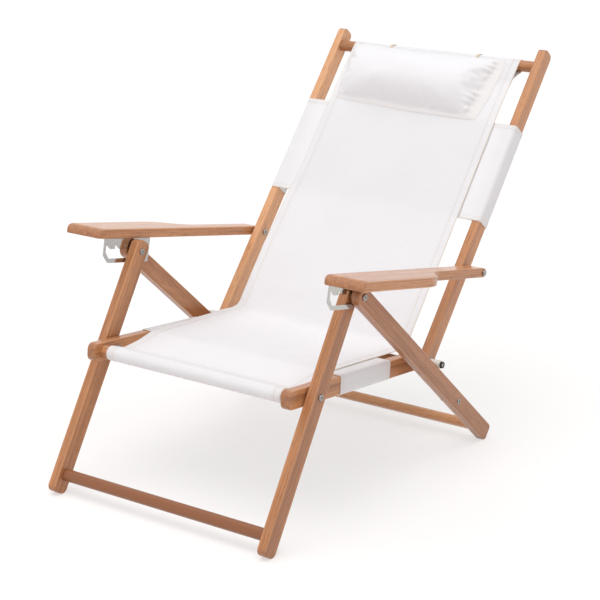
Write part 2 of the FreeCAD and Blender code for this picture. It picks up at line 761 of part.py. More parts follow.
sections = []
for share, plump, tall in reversed(pillow_stations):
    sections.append(pillow_section(pillow_offset - share * pillow_half_length, plump, tall))
for share, plump, tall in pillow_stations[1:]:
    sections.append(pillow_section(pillow_offset + share * pillow_half_length, plump, tall))
nodes["pillow"] = Part.makeLoft(sections, True, False)

# Two tapes that hang the pillow: up its back edge, over the top dowel and down behind it
tie_inner = top_ring + half_cloth + tie_clearance
tie_outer = tie_inner + tie_thickness
tab_low = pillow_high + tie_tab_gap
tie_front = top_dowel_forward + tie_inner
tie_rear = top_dowel_forward - tie_inner
for name, middle_x in (("pillow_tie_left", -tie_half_spacing), ("pillow_tie_right", tie_half_spacing)):
    x_low = middle_x - tie_width / 2
    x_high = middle_x + tie_width / 2
    over_top = tube(tie_outer, tie_inner, x_low, x_high, top_dowel_centre)
    over_top = over_top.common(across([
        (back_point(top_dowel_along, tie_front + tie_outer), 0.0),
        (back_point(top_dowel_along, tie_rear - tie_outer), 0.0),
        (back_point(top_dowel_along + tie_outer, tie_rear - tie_outer), 0.0),
        (back_point(top_dowel_along + tie_outer, tie_front + tie_outer), 0.0),
    ], x_low, x_high))
    front_tab = across([
        (back_point(tab_low, pillow_seam_forward - tie_thickness), 0.0),
        (back_point(tab_low, pillow_seam_forward), 0.0),
        (back_point(top_dowel_along, tie_front + tie_thickness), 0.0),
        (back_point(top_dowel_along, tie_front), 0.0),
    ], x_low, x_high)
    rear_tab = across([
        (back_point(top_dowel_along - tie_tail, tie_rear - tie_thickness), 0.0),
        (back_point(top_dowel_along - tie_tail, tie_rear), 0.0),
        (back_point(top_dowel_along, tie_rear), 0.0),
        (back_point(top_dowel_along, tie_rear - tie_thickness), 0.0),
    ], x_low, x_high)
    nodes[name] = over_top.fuse([front_tab, rear_tab]).removeSplitter()

# The origin goes to the floor, under the middle of the whole chair
front_limit = min(shape.optimalBoundingBox(False, False).YMin for shape in nodes.values())
rear_limit = max(shape.optimalBoundingBox(False, False).YMax for shape in nodes.values())
shift = FreeCAD.Vector(0, -(front_limit + rear_limit) / 2, 0)
for name, shape in nodes.items():
    shape.translate(shift)
    shape.exportStep("parts/" + name + ".step")
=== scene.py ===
import json
import math

import bmesh
import bpy
import numpy as np
from bpy.props import FloatProperty, FloatVectorProperty, IntProperty, PointerProperty
from bpy.types import Operator, Panel, PropertyGroup
from mathutils import Matrix, Vector


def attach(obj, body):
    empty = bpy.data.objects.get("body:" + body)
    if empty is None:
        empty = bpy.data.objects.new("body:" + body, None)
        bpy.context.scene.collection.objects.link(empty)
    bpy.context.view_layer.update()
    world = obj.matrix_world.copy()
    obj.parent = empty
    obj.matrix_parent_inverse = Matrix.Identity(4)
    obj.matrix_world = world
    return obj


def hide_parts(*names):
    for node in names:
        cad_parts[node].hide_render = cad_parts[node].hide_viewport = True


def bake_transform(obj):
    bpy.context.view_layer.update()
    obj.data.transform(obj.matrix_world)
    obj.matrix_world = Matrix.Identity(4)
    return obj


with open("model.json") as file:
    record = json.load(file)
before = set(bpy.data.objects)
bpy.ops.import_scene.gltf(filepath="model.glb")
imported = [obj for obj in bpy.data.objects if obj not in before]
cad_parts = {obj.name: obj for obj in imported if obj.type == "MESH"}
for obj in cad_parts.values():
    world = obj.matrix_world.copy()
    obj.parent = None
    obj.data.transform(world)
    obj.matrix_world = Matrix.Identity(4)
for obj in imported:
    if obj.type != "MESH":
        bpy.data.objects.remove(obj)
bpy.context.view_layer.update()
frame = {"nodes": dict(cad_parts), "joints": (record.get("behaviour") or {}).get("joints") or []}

bl_info = {
    "name": "Folding Beach Chair",
    "version": (1, 0, 0),
    "blender": (4, 5, 0),
    "location": "3D View > Sidebar > Beach Chair",
    "description": "Dresses the folding wooden beach chair: wood, metal, canvas and pillow",
    "category": "Object",
}

MM = 0.001
WHITE = (1.0, 1.0, 1.0, 1.0)
BLACK = (0.0, 0.0, 0.0, 1.0)
HANDS = ("left", "right")


def unit(vector):
    """A direction of length one."""
    return vector / np.linalg.norm(vector)


def left_of(vector):
    """A direction in the side view after a quarter turn to the left."""
    return np.array((-vector[1], vector[0]))


def aimed(angle):
    """The direction at an angle in the side view, as (y, z)."""
    return np.array((math.cos(angle), math.sin(angle)))


def heading(vector):
    """The angle of a direction in the side view."""
    return math.atan2(vector[1], vector[0])


# The side view of the frame, as (y, z) in metres.
JOINT_AT = {joint["name"]: np.array(joint["pos_m"][1:]) for joint in frame["joints"]}
SEAT_PIVOT = JOINT_AT["fold"]
BACK_PIVOT = JOINT_AT["recline"]
SEAT_RUN = unit(BACK_PIVOT - SEAT_PIVOT)
SEAT_UP = left_of(SEAT_RUN)
BACK_LEAN = math.radians(50.4)
BACK_RUN = aimed(BACK_LEAN)
BACK_FRONT = left_of(BACK_RUN)
ARM_SLOPE = math.radians(-11.6)
ARM_RUN = aimed(ARM_SLOPE)
# How far the apex bolt lies above both feet, behind the front one and before the rear one, in mm.
APEX_RISE = 428.0
FRONT_LEG_REACH = 266.6
REAR_LEG_REACH = 487.6
FRONT_LEG_RUN = unit(np.array((FRONT_LEG_REACH, APEX_RISE)))
REAR_LEG_RUN = unit(np.array((-REAR_LEG_REACH, APEX_RISE)))

# Which way the grain runs in each wooden piece. None is across the chair.
GRAIN = {
    f"{piece}_{hand}": run
    for piece, run in (
        ("front_leg", FRONT_LEG_RUN),
        ("rear_leg", REAR_LEG_RUN),
        ("seat_rail", SEAT_RUN),
        ("back_rail", BACK_RUN),
        ("arm", ARM_RUN),
    )
    for hand in HANDS
}
GRAIN |= dict.fromkeys(("front_crossbar", "rear_crossbar"))
GRAIN |= dict.fromkeys(("seat_front_dowel", "seat_rear_dowel", "back_top_dowel", "stop_pegs"))

# How much darker each board is drawn than the middle of the batch: partly each board's own tone, partly
# painted light and shade. The left back rail is paled for the light on its face, and the front crossbar
# is darkened partly for shade.
USUAL_TONE = 0.08
TONE_AND_PAINTED_LIGHT = {
    "front_leg_left": 0.04,
    "front_leg_right": 0.09,
    "rear_leg_left": 0.05,
    "rear_leg_right": 0.14,
    "seat_rail_left": 0.04,
    "seat_rail_right": 0.06,
    "back_rail_left": -0.36,
    "back_rail_right": 0.0,
    "arm_left": 0.0,
    "arm_right": 0.0,
    "front_crossbar": 0.42,
    "rear_crossbar": -0.30,
}

# How the teak is drawn. Each board is another cut of the log, and its grain is drawn out lengthwise.
BOARD_SHIFT = np.array((0.37, 0.11, 0.23))
FIRST_TURN = 0.4
NEXT_TURN = 0.5
GRAIN_SLANT = 0.012
GRAIN_STRETCH = 0.028
STREAKS_PER_METRE = 52.0
PORES_PER_FIBRE = 1.9
# How much each kind of mark darkens the wood, and where the three colours lie on that scale.
BASE_TONE = 0.14
STREAK_SHARE = 0.5
RING_SHARE = 0.12
FIBRE_SHARE = 0.42
PALE_AT, MID_AT, DARK_AT = 0.30, 0.56, 0.92
# Where an arris is rubbed, measured in from the outside of the board.
RUBBED_FROM = 2.6 * MM
RUBBED_TO = 0.4 * MM

# Soft ripples left in the canvas: x, along, turn in degrees, length, width and height in mm.
SEAT_RIPPLES = (
    (60.0, 205.0, 62.0, 130.0, 16.0, 1.5),
    (118.0, 168.0, 48.0, 110.0, 14.0, 1.2),
    (-40.0, 236.0, 80.0, 150.0, 18.0, 1.2),
    (128.0, 262.0, 72.0, 120.0, 15.0, 1.6),
    (10.0, 120.0, 35.0, 150.0, 24.0, 0.8),
    (-130.0, 190.0, -55.0, 120.0, 18.0, 0.9),
)
BACK_RIPPLES = (
    (90.0, 70.0, 78.0, 140.0, 15.0, 1.4),
    (-30.0, 86.0, 88.0, 190.0, 17.0, 1.2),
    (-120.0, 64.0, -80.0, 110.0, 14.0, 1.1),
    (140.0, 150.0, 40.0, 130.0, 20.0, 0.8),
    (0.0, 250.0, 15.0, 260.0, 40.0, 0.6),
    (60.0, 572.0, 84.0, 160.0, 14.0, 0.7),
)


def linear(code):
    """An sRGB hex colour as linear red, green and blue."""
    parts = [int(code[i : i + 2], 16) / 255 for i in (1, 3, 5)]
    return tuple(p / 12.92 if p <= 0.04045 else ((p + 0.055) / 1.055) ** 2.4 for p in parts)


def colour(name, text, code):
    """A colour that a user may change, given as its sRGB hex value."""
    return FloatVectorProperty(
        name=name,
        description=text,
        default=linear(code),
        subtype="COLOR",
        size=3,
        min=0.0,
        max=1.0,
    )


def length(name, text, mm):
    """A length that a user may change, given in millimetres."""
    return FloatProperty(name=name, description=text, default=mm * MM, unit="LENGTH", precision=5)


def amount(name, text, value):
    """A plain number that a user may change."""
    return FloatProperty(name=name, description=text, default=value)


class WoodLook(PropertyGroup):
    """Colours and grain of the oiled hardwood."""

    pale: colour("Pale grain", "Early wood between the growth lines", "#E0A87B")
    mid: colour("Middle grain", "Most of the wood", "#CC8F61")
    dark: colour("Dark grain", "Growth lines and pores", "#8C5838")
    end: colour("End grain", "Sawn ends, which drink more oil", "#6E4234")
    ring: length("Growth line spacing", "From one growth line to the next", 5.5)
    fibre: length("Fibre width", "Width of one streak of fibre", 1.4)


class MetalLook(PropertyGroup):
    """Colours of the fittings."""

    polished: colour("Polished stainless", "The notched brackets", "#C4C2BE")
    bright: colour("Bright steel", "Bolts, screws and washers", "#A3A19D")
    dark: colour("Dark steel", "Nuts on the back pivot", "#4A4643")
    nylon: colour("White nylon", "Sleeves on the back pivot", "#E9E7E1")


class CanvasLook(PropertyGroup):
    """Colours and sizes of the canvas."""

    face: colour("Canvas", "Crown of the yarn", "#FBFAFC")
    # Painted shade: the canvas is one colour, and its hollows between the yarns are drawn darker for the
    # shade that falls in them.
    hollow: colour("Canvas hollows", "Between the yarns", "#F3F1F3")
    tape: colour("Cotton tape", "The pillow's ties", "#DCC7A6")
    thread: colour("Sewing thread", "Stitches and cut edges", "#EADFD0")
    yarn: length("Yarn spacing", "From one yarn to the next", 1.1)
    thickness: length("Canvas thickness", "One layer of the sling", 0.9)
    half_width: length("Sling half width", "From the middle to the hem's edge", 207.0)
    offset: length("Sling offset", "How far the sling has crept to the right", 3.0)
    hem: length("Hem width", "Width of the turned edge", 19.0)
    stitch: length("Stitch length", "Length of one stitch that shows", 3.2)
    pitch: length("Stitch pitch", "From one stitch to the next", 4.6)
    thread_size: length("Thread thickness", "Thickness of the sewing thread", 0.6)
    step: length("Mesh step", "Spacing of the cloth's mesh", 6.0)


class PillowLook(PropertyGroup):
    """Sizes of the head pillow."""

    left: length("Left seam", "From the middle of the back", 196.0)
    right: length("Right seam", "From the middle of the back, half way up", 158.0)
    tilt: length("Tilt", "How much higher the left end of the lower seam sits", 6.0)
    skew: length("Skew", "How far the upper corners lie outside the lower ones", 12.0)
    low: length("Lower seam", "Up the back from the pivot", 540.0)
    high: length("Upper seam", "Up the back from the pivot", 679.0)
    flange: length("Flange", "Width of the flat border below the lower seam", 14.0)
    behind: length("Rear face", "In front of the sling", 0.9)
    seam: length("Seam", "In front of the sling", 3.2)
    crown: length("Front face", "In front of the sling", 46.0)
    pressure: amount("Filling pressure", "How hard the filling pushes on the cover", 8.0)
    gather: amount("Gathering", "How much the seams at both ends are drawn in", 0.06)
    frames: IntProperty(name="Frames", description="How long the filling settles", default=40)


class StageLook(PropertyGroup):
    """Floor, light and camera."""

    floor: colour("Floor", "Pale studio floor", "#FEFAF8")
    floor_size: length("Floor size", "Side of the floor", 60000.0)
    sun: amount("Key light", "Strength of the key", 1.85)
    ambient: amount("Soft light", "Strength of the light all round", 0.485)
    lens: amount("Lens", "Focal length on a 36 mm sensor", 107.885)


def add(tree, kind, inputs=None, **settings):
    """Add a node with its settings, and set or link its inputs."""
    made = tree.nodes.new(kind)
    for name, value in settings.items():
        setattr(made, name, value)
    for key, value in (inputs or {}).items():
        if isinstance(value, bpy.types.NodeSocket):
            tree.links.new(value, made.inputs[key])
        else:
            made.inputs[key].default_value = value
    return made


def maths(tree, operation, *values):
    """The result of a sum on numbers and sockets."""
    return add(tree, "ShaderNodeMath", dict(enumerate(values)), operation=operation).outputs[0]


def noise(tree, vector, scale, detail, distortion=0.0):
    """The value of a noise texture."""
    inputs = {"Vector": vector, "Scale": scale, "Detail": detail, "Distortion": distortion}
    return add(tree, "ShaderNodeTexNoise", inputs).outputs[0]


def ranged(tree, value, low=0.0, high=1.0, to_low=0.0, to_high=1.0):
    """A value taken from one range to another, and held inside it."""
    given = {"Value": value, "From Min": low, "From Max": high}
    return add(tree, "ShaderNodeMapRange", given | {"To Min": to_low, "To Max": to_high}).outputs[0]


def tinted(tree, share, first, second):
    """A colour between two others. A mix node's colours are its inputs 6 and 7 and its output 2."""
    inputs = {"Factor": share, 6: first, 7: second}
    return add(tree, "ShaderNodeMix", inputs, data_type="RGBA").outputs[2]


def bumped(tree, height, strength, depth):
    """A normal that follows small heights."""
    inputs = {"Height": height, "Strength": strength, "Distance": depth}
    return add(tree, "ShaderNodeBump", inputs).outputs[0]


def layered(tree, share, first, second):
    """A shader between two others."""
    return add(tree, "ShaderNodeMixShader", {0: share, 1: first, 2: second}).outputs[0]


def surface(tree, inputs):
    """A shader for a solid surface."""
    return add(tree, "ShaderNodeBsdfPrincipled", inputs).outputs[0]


def on_piece(tree):
    """The place on the piece, in metres."""
    return add(tree, "ShaderNodeTexCoord").outputs["Object"]


def material(name):
    """A new material with an empty tree."""
    made = bpy.data.materials.new(name)
    made.use_nodes = True
    made.node_tree.nodes.clear()
    return made, made.node_tree


def shown(made, shader):
    """The material, which now shows the shader."""
    add(made.node_tree, "ShaderNodeOutputMaterial", {"Surface": shader})
    return made


def opaque(rgb, level=1.0):
    """A colour for a node, at some share of its brightness."""
    return (*(level * c for c in rgb), 1.0)


def dress(name, made):
    """Give a CAD node its finished material."""
    target = frame["nodes"][name]
    if not target.material_slots:
        target.data.materials.append(made)
    for slot in target.material_slots:
        slot.link = "OBJECT"
        slot.material = made


def spans(name, axes):
    """The middle and half size of a CAD node along three axes."""
    points = np.array([v.co for v in frame["nodes"][name].data.vertices])
    along = points @ np.array(axes).T
    low, high = along.min(0), along.max(0)
    middle = (low + high) / 2 @ np.array(axes)
    return middle, (high - low) / 2


def oiled_teak(name, look, number):
    """Oiled hardwood, planed and sanded: straight grain, fine pores, satin sheen, dark ends."""
    run = GRAIN[name]
    if run is None:
        turn = (0.0, 0.0, -math.pi / 2)
    else:
        turn = (heading(run), 0.0, 0.0)
    spin = Matrix.Rotation(turn[0], 3, "X") @ Matrix.Rotation(turn[2], 3, "Z")
    axes = [spin @ Vector(a) for a in ((1, 0, 0), (0, 1, 0), (0, 0, 1))]
    middle, half = spans(name, [list(a) for a in axes])
    made, tree = material("oiled_teak_" + name)
    spot = add(tree, "ShaderNodeTexCoord")
    place = add(
        tree,
        "ShaderNodeMapping",
        {"Vector": spot.outputs["Object"], "Location": middle, "Rotation": turn},
        vector_type="TEXTURE",
    ).outputs[0]
    drawn = add(
        tree,
        "ShaderNodeMapping",
        {
            "Vector": place,
            "Location": number * BOARD_SHIFT,
            "Rotation": (0.0, FIRST_TURN + NEXT_TURN * number, GRAIN_SLANT),
            "Scale": (1.0, GRAIN_STRETCH, 1.0),
        },
    ).outputs[0]
    streak = noise(tree, drawn, STREAKS_PER_METRE, 2.0, 0.3)
    # Growth lines: a wave's period is pi / 10 divided by its scale.
    rings = add(
        tree,
        "ShaderNodeTexWave",
        {
            "Vector": drawn,
            "Scale": math.pi / 10 / look.ring,
            "Distortion": 2.6,
            "Detail": 2.0,
            "Detail Scale": 0.8,
        },
        wave_type="BANDS",
        bands_direction="X",
        wave_profile="SAW",
    ).outputs[1]
    fibre = noise(tree, drawn, 1 / look.fibre, 3.0)
    pore = ranged(tree, noise(tree, drawn, PORES_PER_FIBRE / look.fibre, 1.0), 0.62, 0.72)
    # The board's tone here also carries the painted light and shade from the table of tones.
    tone = maths(tree, "MULTIPLY_ADD", streak, STREAK_SHARE, BASE_TONE + TONE_AND_PAINTED_LIGHT.get(name, USUAL_TONE))
    tone = maths(tree, "MULTIPLY_ADD", rings, RING_SHARE, tone)
    tone = maths(tree, "MULTIPLY_ADD", fibre, FIBRE_SHARE, tone)
    ramp = add(tree, "ShaderNodeValToRGB", {"Fac": tone})
    stops = ramp.color_ramp.elements
    stops[0].position, stops[0].color = PALE_AT, opaque(look.pale)
    stops[1].position, stops[1].color = DARK_AT, opaque(look.dark)
    stops.new(MID_AT).color = opaque(look.mid)
    grained = tinted(tree, pore, ramp.outputs[0], opaque(look.dark))
    # Sawn ends, blotched with oil: where the face looks along the grain.
    facing = {0: spot.outputs["Normal"], 1: axes[1]}
    along = add(tree, "ShaderNodeVectorMath", facing, operation="DOT_PRODUCT").outputs["Value"]
    sawn = ranged(tree, maths(tree, "ABSOLUTE", along), 0.2, 0.65, to_high=0.95)
    blotch = noise(tree, place, 160.0, 3.0, 0.8)
    sawn_tint = tinted(tree, blotch, opaque(look.end), opaque(look.mid))
    ended = tinted(tree, sawn, grained, sawn_tint)
    # Rubbed edges, a little paler: near the outer limits of both the width and the depth.
    apart = add(tree, "ShaderNodeSeparateXYZ", {0: place})
    near = []
    for axis in (0, 2):
        far = maths(tree, "ABSOLUTE", apart.outputs[axis])
        near.append(ranged(tree, far, half[axis] - RUBBED_FROM, half[axis] - RUBBED_TO))
    edge = maths(tree, "MULTIPLY", maths(tree, "MULTIPLY", *near), fibre)
    height = maths(tree, "SUBTRACT", fibre, pore)
    shader = surface(
        tree,
        {
            "Base Color": tinted(tree, edge, ended, opaque(look.pale)),
            "Roughness": ranged(tree, fibre, to_low=0.26, to_high=0.42),
            "IOR": 1.5,
            "Specular IOR Level": 0.3,
            "Coat Weight": 0.48,
            "Coat Roughness": 0.15,
            "Coat IOR": 1.35,
            "Normal": bumped(tree, height, 0.35, 0.15 * MM),
        },
    )
    return shown(made, shader)


def steel(name, rgb, smooth, scratched, grit):
    """Steel, turned or rolled and then polished: bright reflections, fine scratches, faint smears."""
    made, tree = material(name)
    spot = on_piece(tree)
    drawn = add(tree, "ShaderNodeMapping", {"Vector": spot, "Scale": (1.0, 0.08, 1.0)}).outputs[0]
    scratch = noise(tree, drawn, 1 / grit, 3.0)
    both = maths(tree, "MULTIPLY", scratch, noise(tree, spot, 90.0, 3.0))
    shader = surface(
        tree,
        {
            "Base Color": tinted(tree, both, opaque(rgb), opaque(rgb, 0.72)),
            "Metallic": 1.0,
            "Roughness": ranged(tree, both, 0.0, 0.5, smooth, scratched),
            "Normal": bumped(tree, scratch, 0.12, 0.04 * MM),
        },
    )
    return shown(made, shader)


def moulded_nylon(name, rgb):
    """Nylon, moulded: waxy white with a faint orange-peel skin and slight dirt."""
    made, tree = material(name)
    spot = on_piece(tree)
    skin_noise = noise(tree, spot, 900.0, 2.0)
    dirt = noise(tree, spot, 120.0, 4.0)
    shader = surface(
        tree,
        {
            "Base Color": tinted(tree, dirt, opaque(rgb), opaque(rgb, 0.86)),
            "Roughness": ranged(tree, skin_noise, to_low=0.38, to_high=0.5),
            "IOR": 1.53,
            "Normal": bumped(tree, skin_noise, 0.2, 0.05 * MM),
        },
    )
    return shown(made, shader)


def woven_canvas(name, crown, hollow, cut, yarn, through, rib=0.0):
    """Cotton canvas, plain weave: crossing yarns, slubs, a matt face that lets some light through.

    The weave follows the piece's own map, which is in metres of cloth. A yarn every
    half millimetre would be too fine to show, so the yarns are drawn about twice as wide.
    Folded and cut edges, marked by the piece's "edge" attribute, are a little beige. This tint is partly
    the cut edges' own colour and partly painted light and shade: along the sling's edge, in the stitch
    grooves, at the pillow's gathered ends and on its border.
    """
    made, tree = material(name)
    cloth = add(tree, "ShaderNodeUVMap", uv_map="weave").outputs[0]
    scaled = {0: cloth, "Scale": 1 / yarn}
    threads = add(tree, "ShaderNodeVectorMath", scaled, operation="SCALE").outputs[0]
    slub = noise(tree, threads, 0.12, 3.0)
    cast = noise(tree, cloth, 9.0, 2.0)
    apart = add(tree, "ShaderNodeSeparateXYZ", {0: threads})
    rounds = [maths(tree, "PINGPONG", apart.outputs[axis], 0.5) for axis in (0, 1)]
    checks = {"Vector": threads, "Scale": 1.0, "Color1": WHITE, "Color2": BLACK}
    over = add(tree, "ShaderNodeTexChecker", checks).outputs["Fac"]
    crossed = {"Factor": over, 2: rounds[0], 3: rounds[1]}
    crossing = add(tree, "ShaderNodeMix", crossed, data_type="FLOAT").outputs[0]
    height = maths(tree, "MULTIPLY_ADD", slub, 0.25, crossing)
    if rib:
        # Fine ribs across the band, as the loom left them.
        ribs = maths(tree, "PINGPONG", apart.outputs[1], 0.5 * rib / yarn)
        height = maths(tree, "MULTIPLY_ADD", ribs, 0.9, height)
    # Between the yarns the colour goes to the hollow colour; for the chair's canvas this is painted
    # shade in the weave.
    tint = tinted(tree, ranged(tree, height, 0.1, 0.5), opaque(hollow), opaque(crown))
    warm = ranged(tree, cast, 0.4, 0.8, to_high=0.35)
    tint = tinted(tree, warm, tint, opaque(hollow))
    # The beige edge tint: partly the cut edges' own colour, partly painted light and shade.
    edge = add(tree, "ShaderNodeAttribute", attribute_name="edge").outputs["Fac"]
    tint = tinted(tree, edge, tint, opaque(cut))
    face = surface(
        tree,
        {
            "Base Color": tint,
            "Roughness": 0.88,
            "Specular IOR Level": 0.25,
            "Sheen Weight": 0.15,
            "Sheen Roughness": 0.6,
            "Normal": bumped(tree, height, 0.3, 0.2 * MM),
        },
    )
    glow = add(tree, "ShaderNodeBsdfTranslucent", {"Color": tint}).outputs[0]
    return shown(made, layered(tree, through, face, glow))


def white_canvas(name, look, through, rib=0.0):
    """The chair's own canvas, with how much light comes through it."""
    return woven_canvas(name, look.face, look.hollow, look.thread, look.yarn, through, rib)


def spun_thread(name, rgb):
    """Polyester thread, spun: two plies that twist round each other, a slight sheen."""
    made, tree = material(name)
    twist = noise(tree, on_piece(tree), 1500.0, 1.0)
    tint = tinted(tree, twist, opaque(rgb), opaque(rgb, 0.7))
    shader = surface(tree, {"Base Color": tint, "Roughness": 0.55, "Sheen Weight": 0.2})
    return shown(made, shader)


FLOOR_WHITE = 0.6


def studio_floor(name, rgb):
    """Painted studio board: pale and matt, with a faint roller texture.

    Over half of what the camera sees is plain white, so the floor keeps a light shadow.
    """
    made, tree = material(name)
    roller = noise(tree, on_piece(tree), 260.0, 2.0)
    board = surface(
        tree,
        {
            "Base Color": opaque(rgb),
            "Roughness": 0.9,
            "Specular IOR Level": 0.1,
            "Normal": bumped(tree, roller, 0.05, 0.1 * MM),
        },
    )
    white = add(tree, "ShaderNodeEmission", {"Color": WHITE, "Strength": 1.0}).outputs[0]
    share = maths(tree, "MULTIPLY", seen_directly(tree), FLOOR_WHITE)
    return shown(made, layered(tree, share, board, white))


def seen_directly(tree):
    """A socket that is 1 for rays from the camera, off polished metal or through glass."""
    path = add(tree, "ShaderNodeLightPath")
    seen = path.outputs["Is Camera Ray"]
    for other in ("Is Glossy Ray", "Is Transmission Ray"):
        seen = maths(tree, "MAXIMUM", seen, path.outputs[other])
    return seen


def seat_at(along, above):
    """A point of the seat, along it from its front pivot and above its axis, as (y, z)."""
    return SEAT_PIVOT + along * SEAT_RUN + above * SEAT_UP


def back_at(along, front):
    """A point of the back, up it from its pivot and in front of its axis, as (y, z)."""
    return BACK_PIVOT + along * BACK_RUN + front * BACK_FRONT


def arc(centre, radius, first, last, step):
    """Points of an arc in the side view, from one angle to another."""
    count = max(3, math.ceil(abs(last - first) * radius / step))
    return [centre + radius * aimed(a) for a in np.linspace(first, last, count + 1)]


def bend_of(above, front, radius):
    """The sling's bend: the centre, the first and last angle of the arc in the side view."""
    start, turn = seat_at(0.0, above), back_at(0.0, front)
    gap = turn - start
    cross = SEAT_RUN[0] * BACK_RUN[1] - SEAT_RUN[1] * BACK_RUN[0]
    along = (gap[0] * BACK_RUN[1] - gap[1] * BACK_RUN[0]) / cross
    corner = start + along * SEAT_RUN
    opening = heading(BACK_RUN) - heading(SEAT_RUN)
    setback = radius * math.tan(opening / 2)
    centre = corner - setback * SEAT_RUN + radius * SEAT_UP
    return centre, heading(-SEAT_UP), heading(-SEAT_UP) + opening


def resampled(points, step):
    """The points of a line again, evenly spaced, with how far along it each is."""
    points = np.array(points)
    steps = np.linalg.norm(np.diff(points, axis=0), axis=1)
    run = np.concatenate([[0.0], np.cumsum(steps)])
    at = np.linspace(0.0, run[-1], max(2, math.ceil(run[-1] / step) + 1))
    return np.stack([np.interp(at, run, points[:, k]) for k in (0, 1)], axis=1), at


def faces_of(line):
    """Which way the face side of the cloth looks at each point of its line."""
    way = np.gradient(line, axis=0)
    way /= np.linalg.norm(way, axis=1)[:, None]
    return np.stack([-way[:, 1], way[:, 0]], axis=1)


def eased(corners, radius, step):
    """The points of a line whose corners are rounded."""
    points = [np.array(corners[0])]
    for before, corner, after in zip(corners, corners[1:], corners[2:]):
        corner = np.array(corner)
        back, on = unit(np.array(before) - corner), unit(np.array(after) - corner)
        half = math.acos(float(np.clip(back @ on, -1, 1))) / 2
        cut = radius / math.tan(half)
        centre = corner + (back + on) / np.linalg.norm(back + on) * radius / math.sin(half)
        first = heading(corner + back * cut - centre)
        last = heading(corner + on * cut - centre)
        sweep = (last - first + math.pi) % (2 * math.pi) - math.pi
        points += arc(centre, radius, first, first + sweep, step)
    points.append(np.array(corners[-1]))
    return points


def tunnel(centre, radius, seam, first_face):
    """How far round a dowel the cloth turns before it runs straight back to its seam.

    Returns the angle at which a line from the seam touches the ring, on the far side
    from the face.
    """
    reach = seam - centre
    far = np.linalg.norm(reach)
    return heading(reach) + first_face * math.acos(min(1.0, radius / far))


# The sling's side view: how far its cloth lies from the rails' middle, its bend and its two sleeves.
SEAT_LIFT = 21.0 * MM
BACK_LIFT = 21.0 * MM
BEND_RADIUS = 26.0 * MM
BEND_CENTRE, BEND_FIRST, BEND_LAST = bend_of(SEAT_LIFT, BACK_LIFT, BEND_RADIUS)
BEND_MIDDLE = (BEND_FIRST + BEND_LAST) / 2
FRONT_DOWEL = seat_at(-40.1 * MM, 0.0)
FRONT_RING = 14.0 * MM
TOP_DOWEL_UP = 678.0 * MM
TOP_DOWEL = back_at(TOP_DOWEL_UP, 2.0 * MM)
TOP_RING = 13.0 * MM
FRONT_SEAM = -3.0 * MM
FRONT_SEAM_LIFT = 4.5 * MM
TOP_SEAM = 636.0 * MM
# Where the flat of the seat starts and the flat of the back ends.
SEAT_FLAT_FROM = 92.0 * MM
BACK_FLAT_TO = 560.0 * MM
GROOVE_RADIUS = 40.0 * MM
# The gap between the two layers of a seam, the tail of cloth behind it, and the steps of drawn lines.
SEAM_GAP = 1.5 * MM
SEAM_TAIL = 16.0 * MM
LINE_STEP = 1.5 * MM
FINE_STEP = 1.0 * MM
# How far along the sling its cloth leaves the front dowel.
FRONT_TURN = 118.0 * MM
# How far the left hem has crept outwards, by how far past the bend it is, in mm.
CREEP = (
    (-330.0, 0.0),
    (-278.0, 9.0),
    (-182.0, 21.0),
    (-100.0, 28.0),
    (-58.0, 31.0),
    (-18.0, 39.0),
    (-5.0, 36.0),
    (9.0, 15.0),
    (20.0, 11.0),
    (47.0, 12.0),
    (157.0, 12.0),
    (288.0, 6.0),
    (345.0, 0.0),
)
# How fast the creep fades from the left hem to the middle, and how the ripples fade to the hems.
CREEP_FADE = 1.5
RIPPLE_FADE = 60 * MM
RIPPLE_LEAST = 0.2


def seat_line():
    """The sling's line from its seam behind the front dowel, round it and on to the bend.

    The cloth makes a tube round the dowel, which is sewn together just behind it.
    """
    rise = seat_at(SEAT_FLAT_FROM, SEAT_LIFT)
    seam = seat_at(FRONT_SEAM, FRONT_SEAM_LIFT)
    slope = unit(rise - seam)
    under = seam - SEAM_GAP * left_of(slope)
    leave = tunnel(FRONT_DOWEL, FRONT_RING, under, -1)
    meet = tunnel(FRONT_DOWEL, FRONT_RING, seam, 1) - 2 * math.pi
    points = [under + SEAM_TAIL * slope, under]
    points += arc(FRONT_DOWEL, FRONT_RING, leave, meet, LINE_STEP)
    points += eased([points[-1], seam, rise], GROOVE_RADIUS, LINE_STEP)[1:]
    return points + arc(BEND_CENTRE, BEND_RADIUS, BEND_FIRST, BEND_MIDDLE, LINE_STEP)


def back_line():
    """The sling's line from the bend, up the back and round the top dowel, to its seam behind."""
    points = arc(BEND_CENTRE, BEND_RADIUS, BEND_MIDDLE, BEND_LAST, LINE_STEP)
    drop = back_at(BACK_FLAT_TO, BACK_LIFT)
    top = TOP_DOWEL + TOP_RING * BACK_FRONT
    slope = unit(top - drop)
    lift = left_of(slope)
    seam = top - (TOP_DOWEL_UP - TOP_SEAM) * slope - SEAM_GAP * lift
    leave = tunnel(TOP_DOWEL, TOP_RING, seam, 1)
    crown = heading(lift)
    while leave > crown:
        leave -= 2 * math.pi
    points.append(drop)
    points += arc(TOP_DOWEL, TOP_RING, crown, leave, LINE_STEP)
    return points + [seam, seam - SEAM_TAIL * slope]


def ripple(across, along, ripples):
    """How far soft ripples lift the cloth at places across and along it."""
    lift = np.zeros(np.broadcast(across, along).shape)
    for x, run, turn, size, width, height in ripples:
        c, s = math.cos(math.radians(turn)), math.sin(math.radians(turn))
        du, dv = across - x * MM, along - run * MM
        down, over = du * s + dv * c, du * c - dv * s
        bend = over + 0.25 * width * MM * np.sin(down / (size * MM) * 4.0)
        fade = -((bend / (width * MM)) ** 2) - (down / (0.5 * size * MM)) ** 2
        lift += height * MM * np.exp(fade)
    return lift


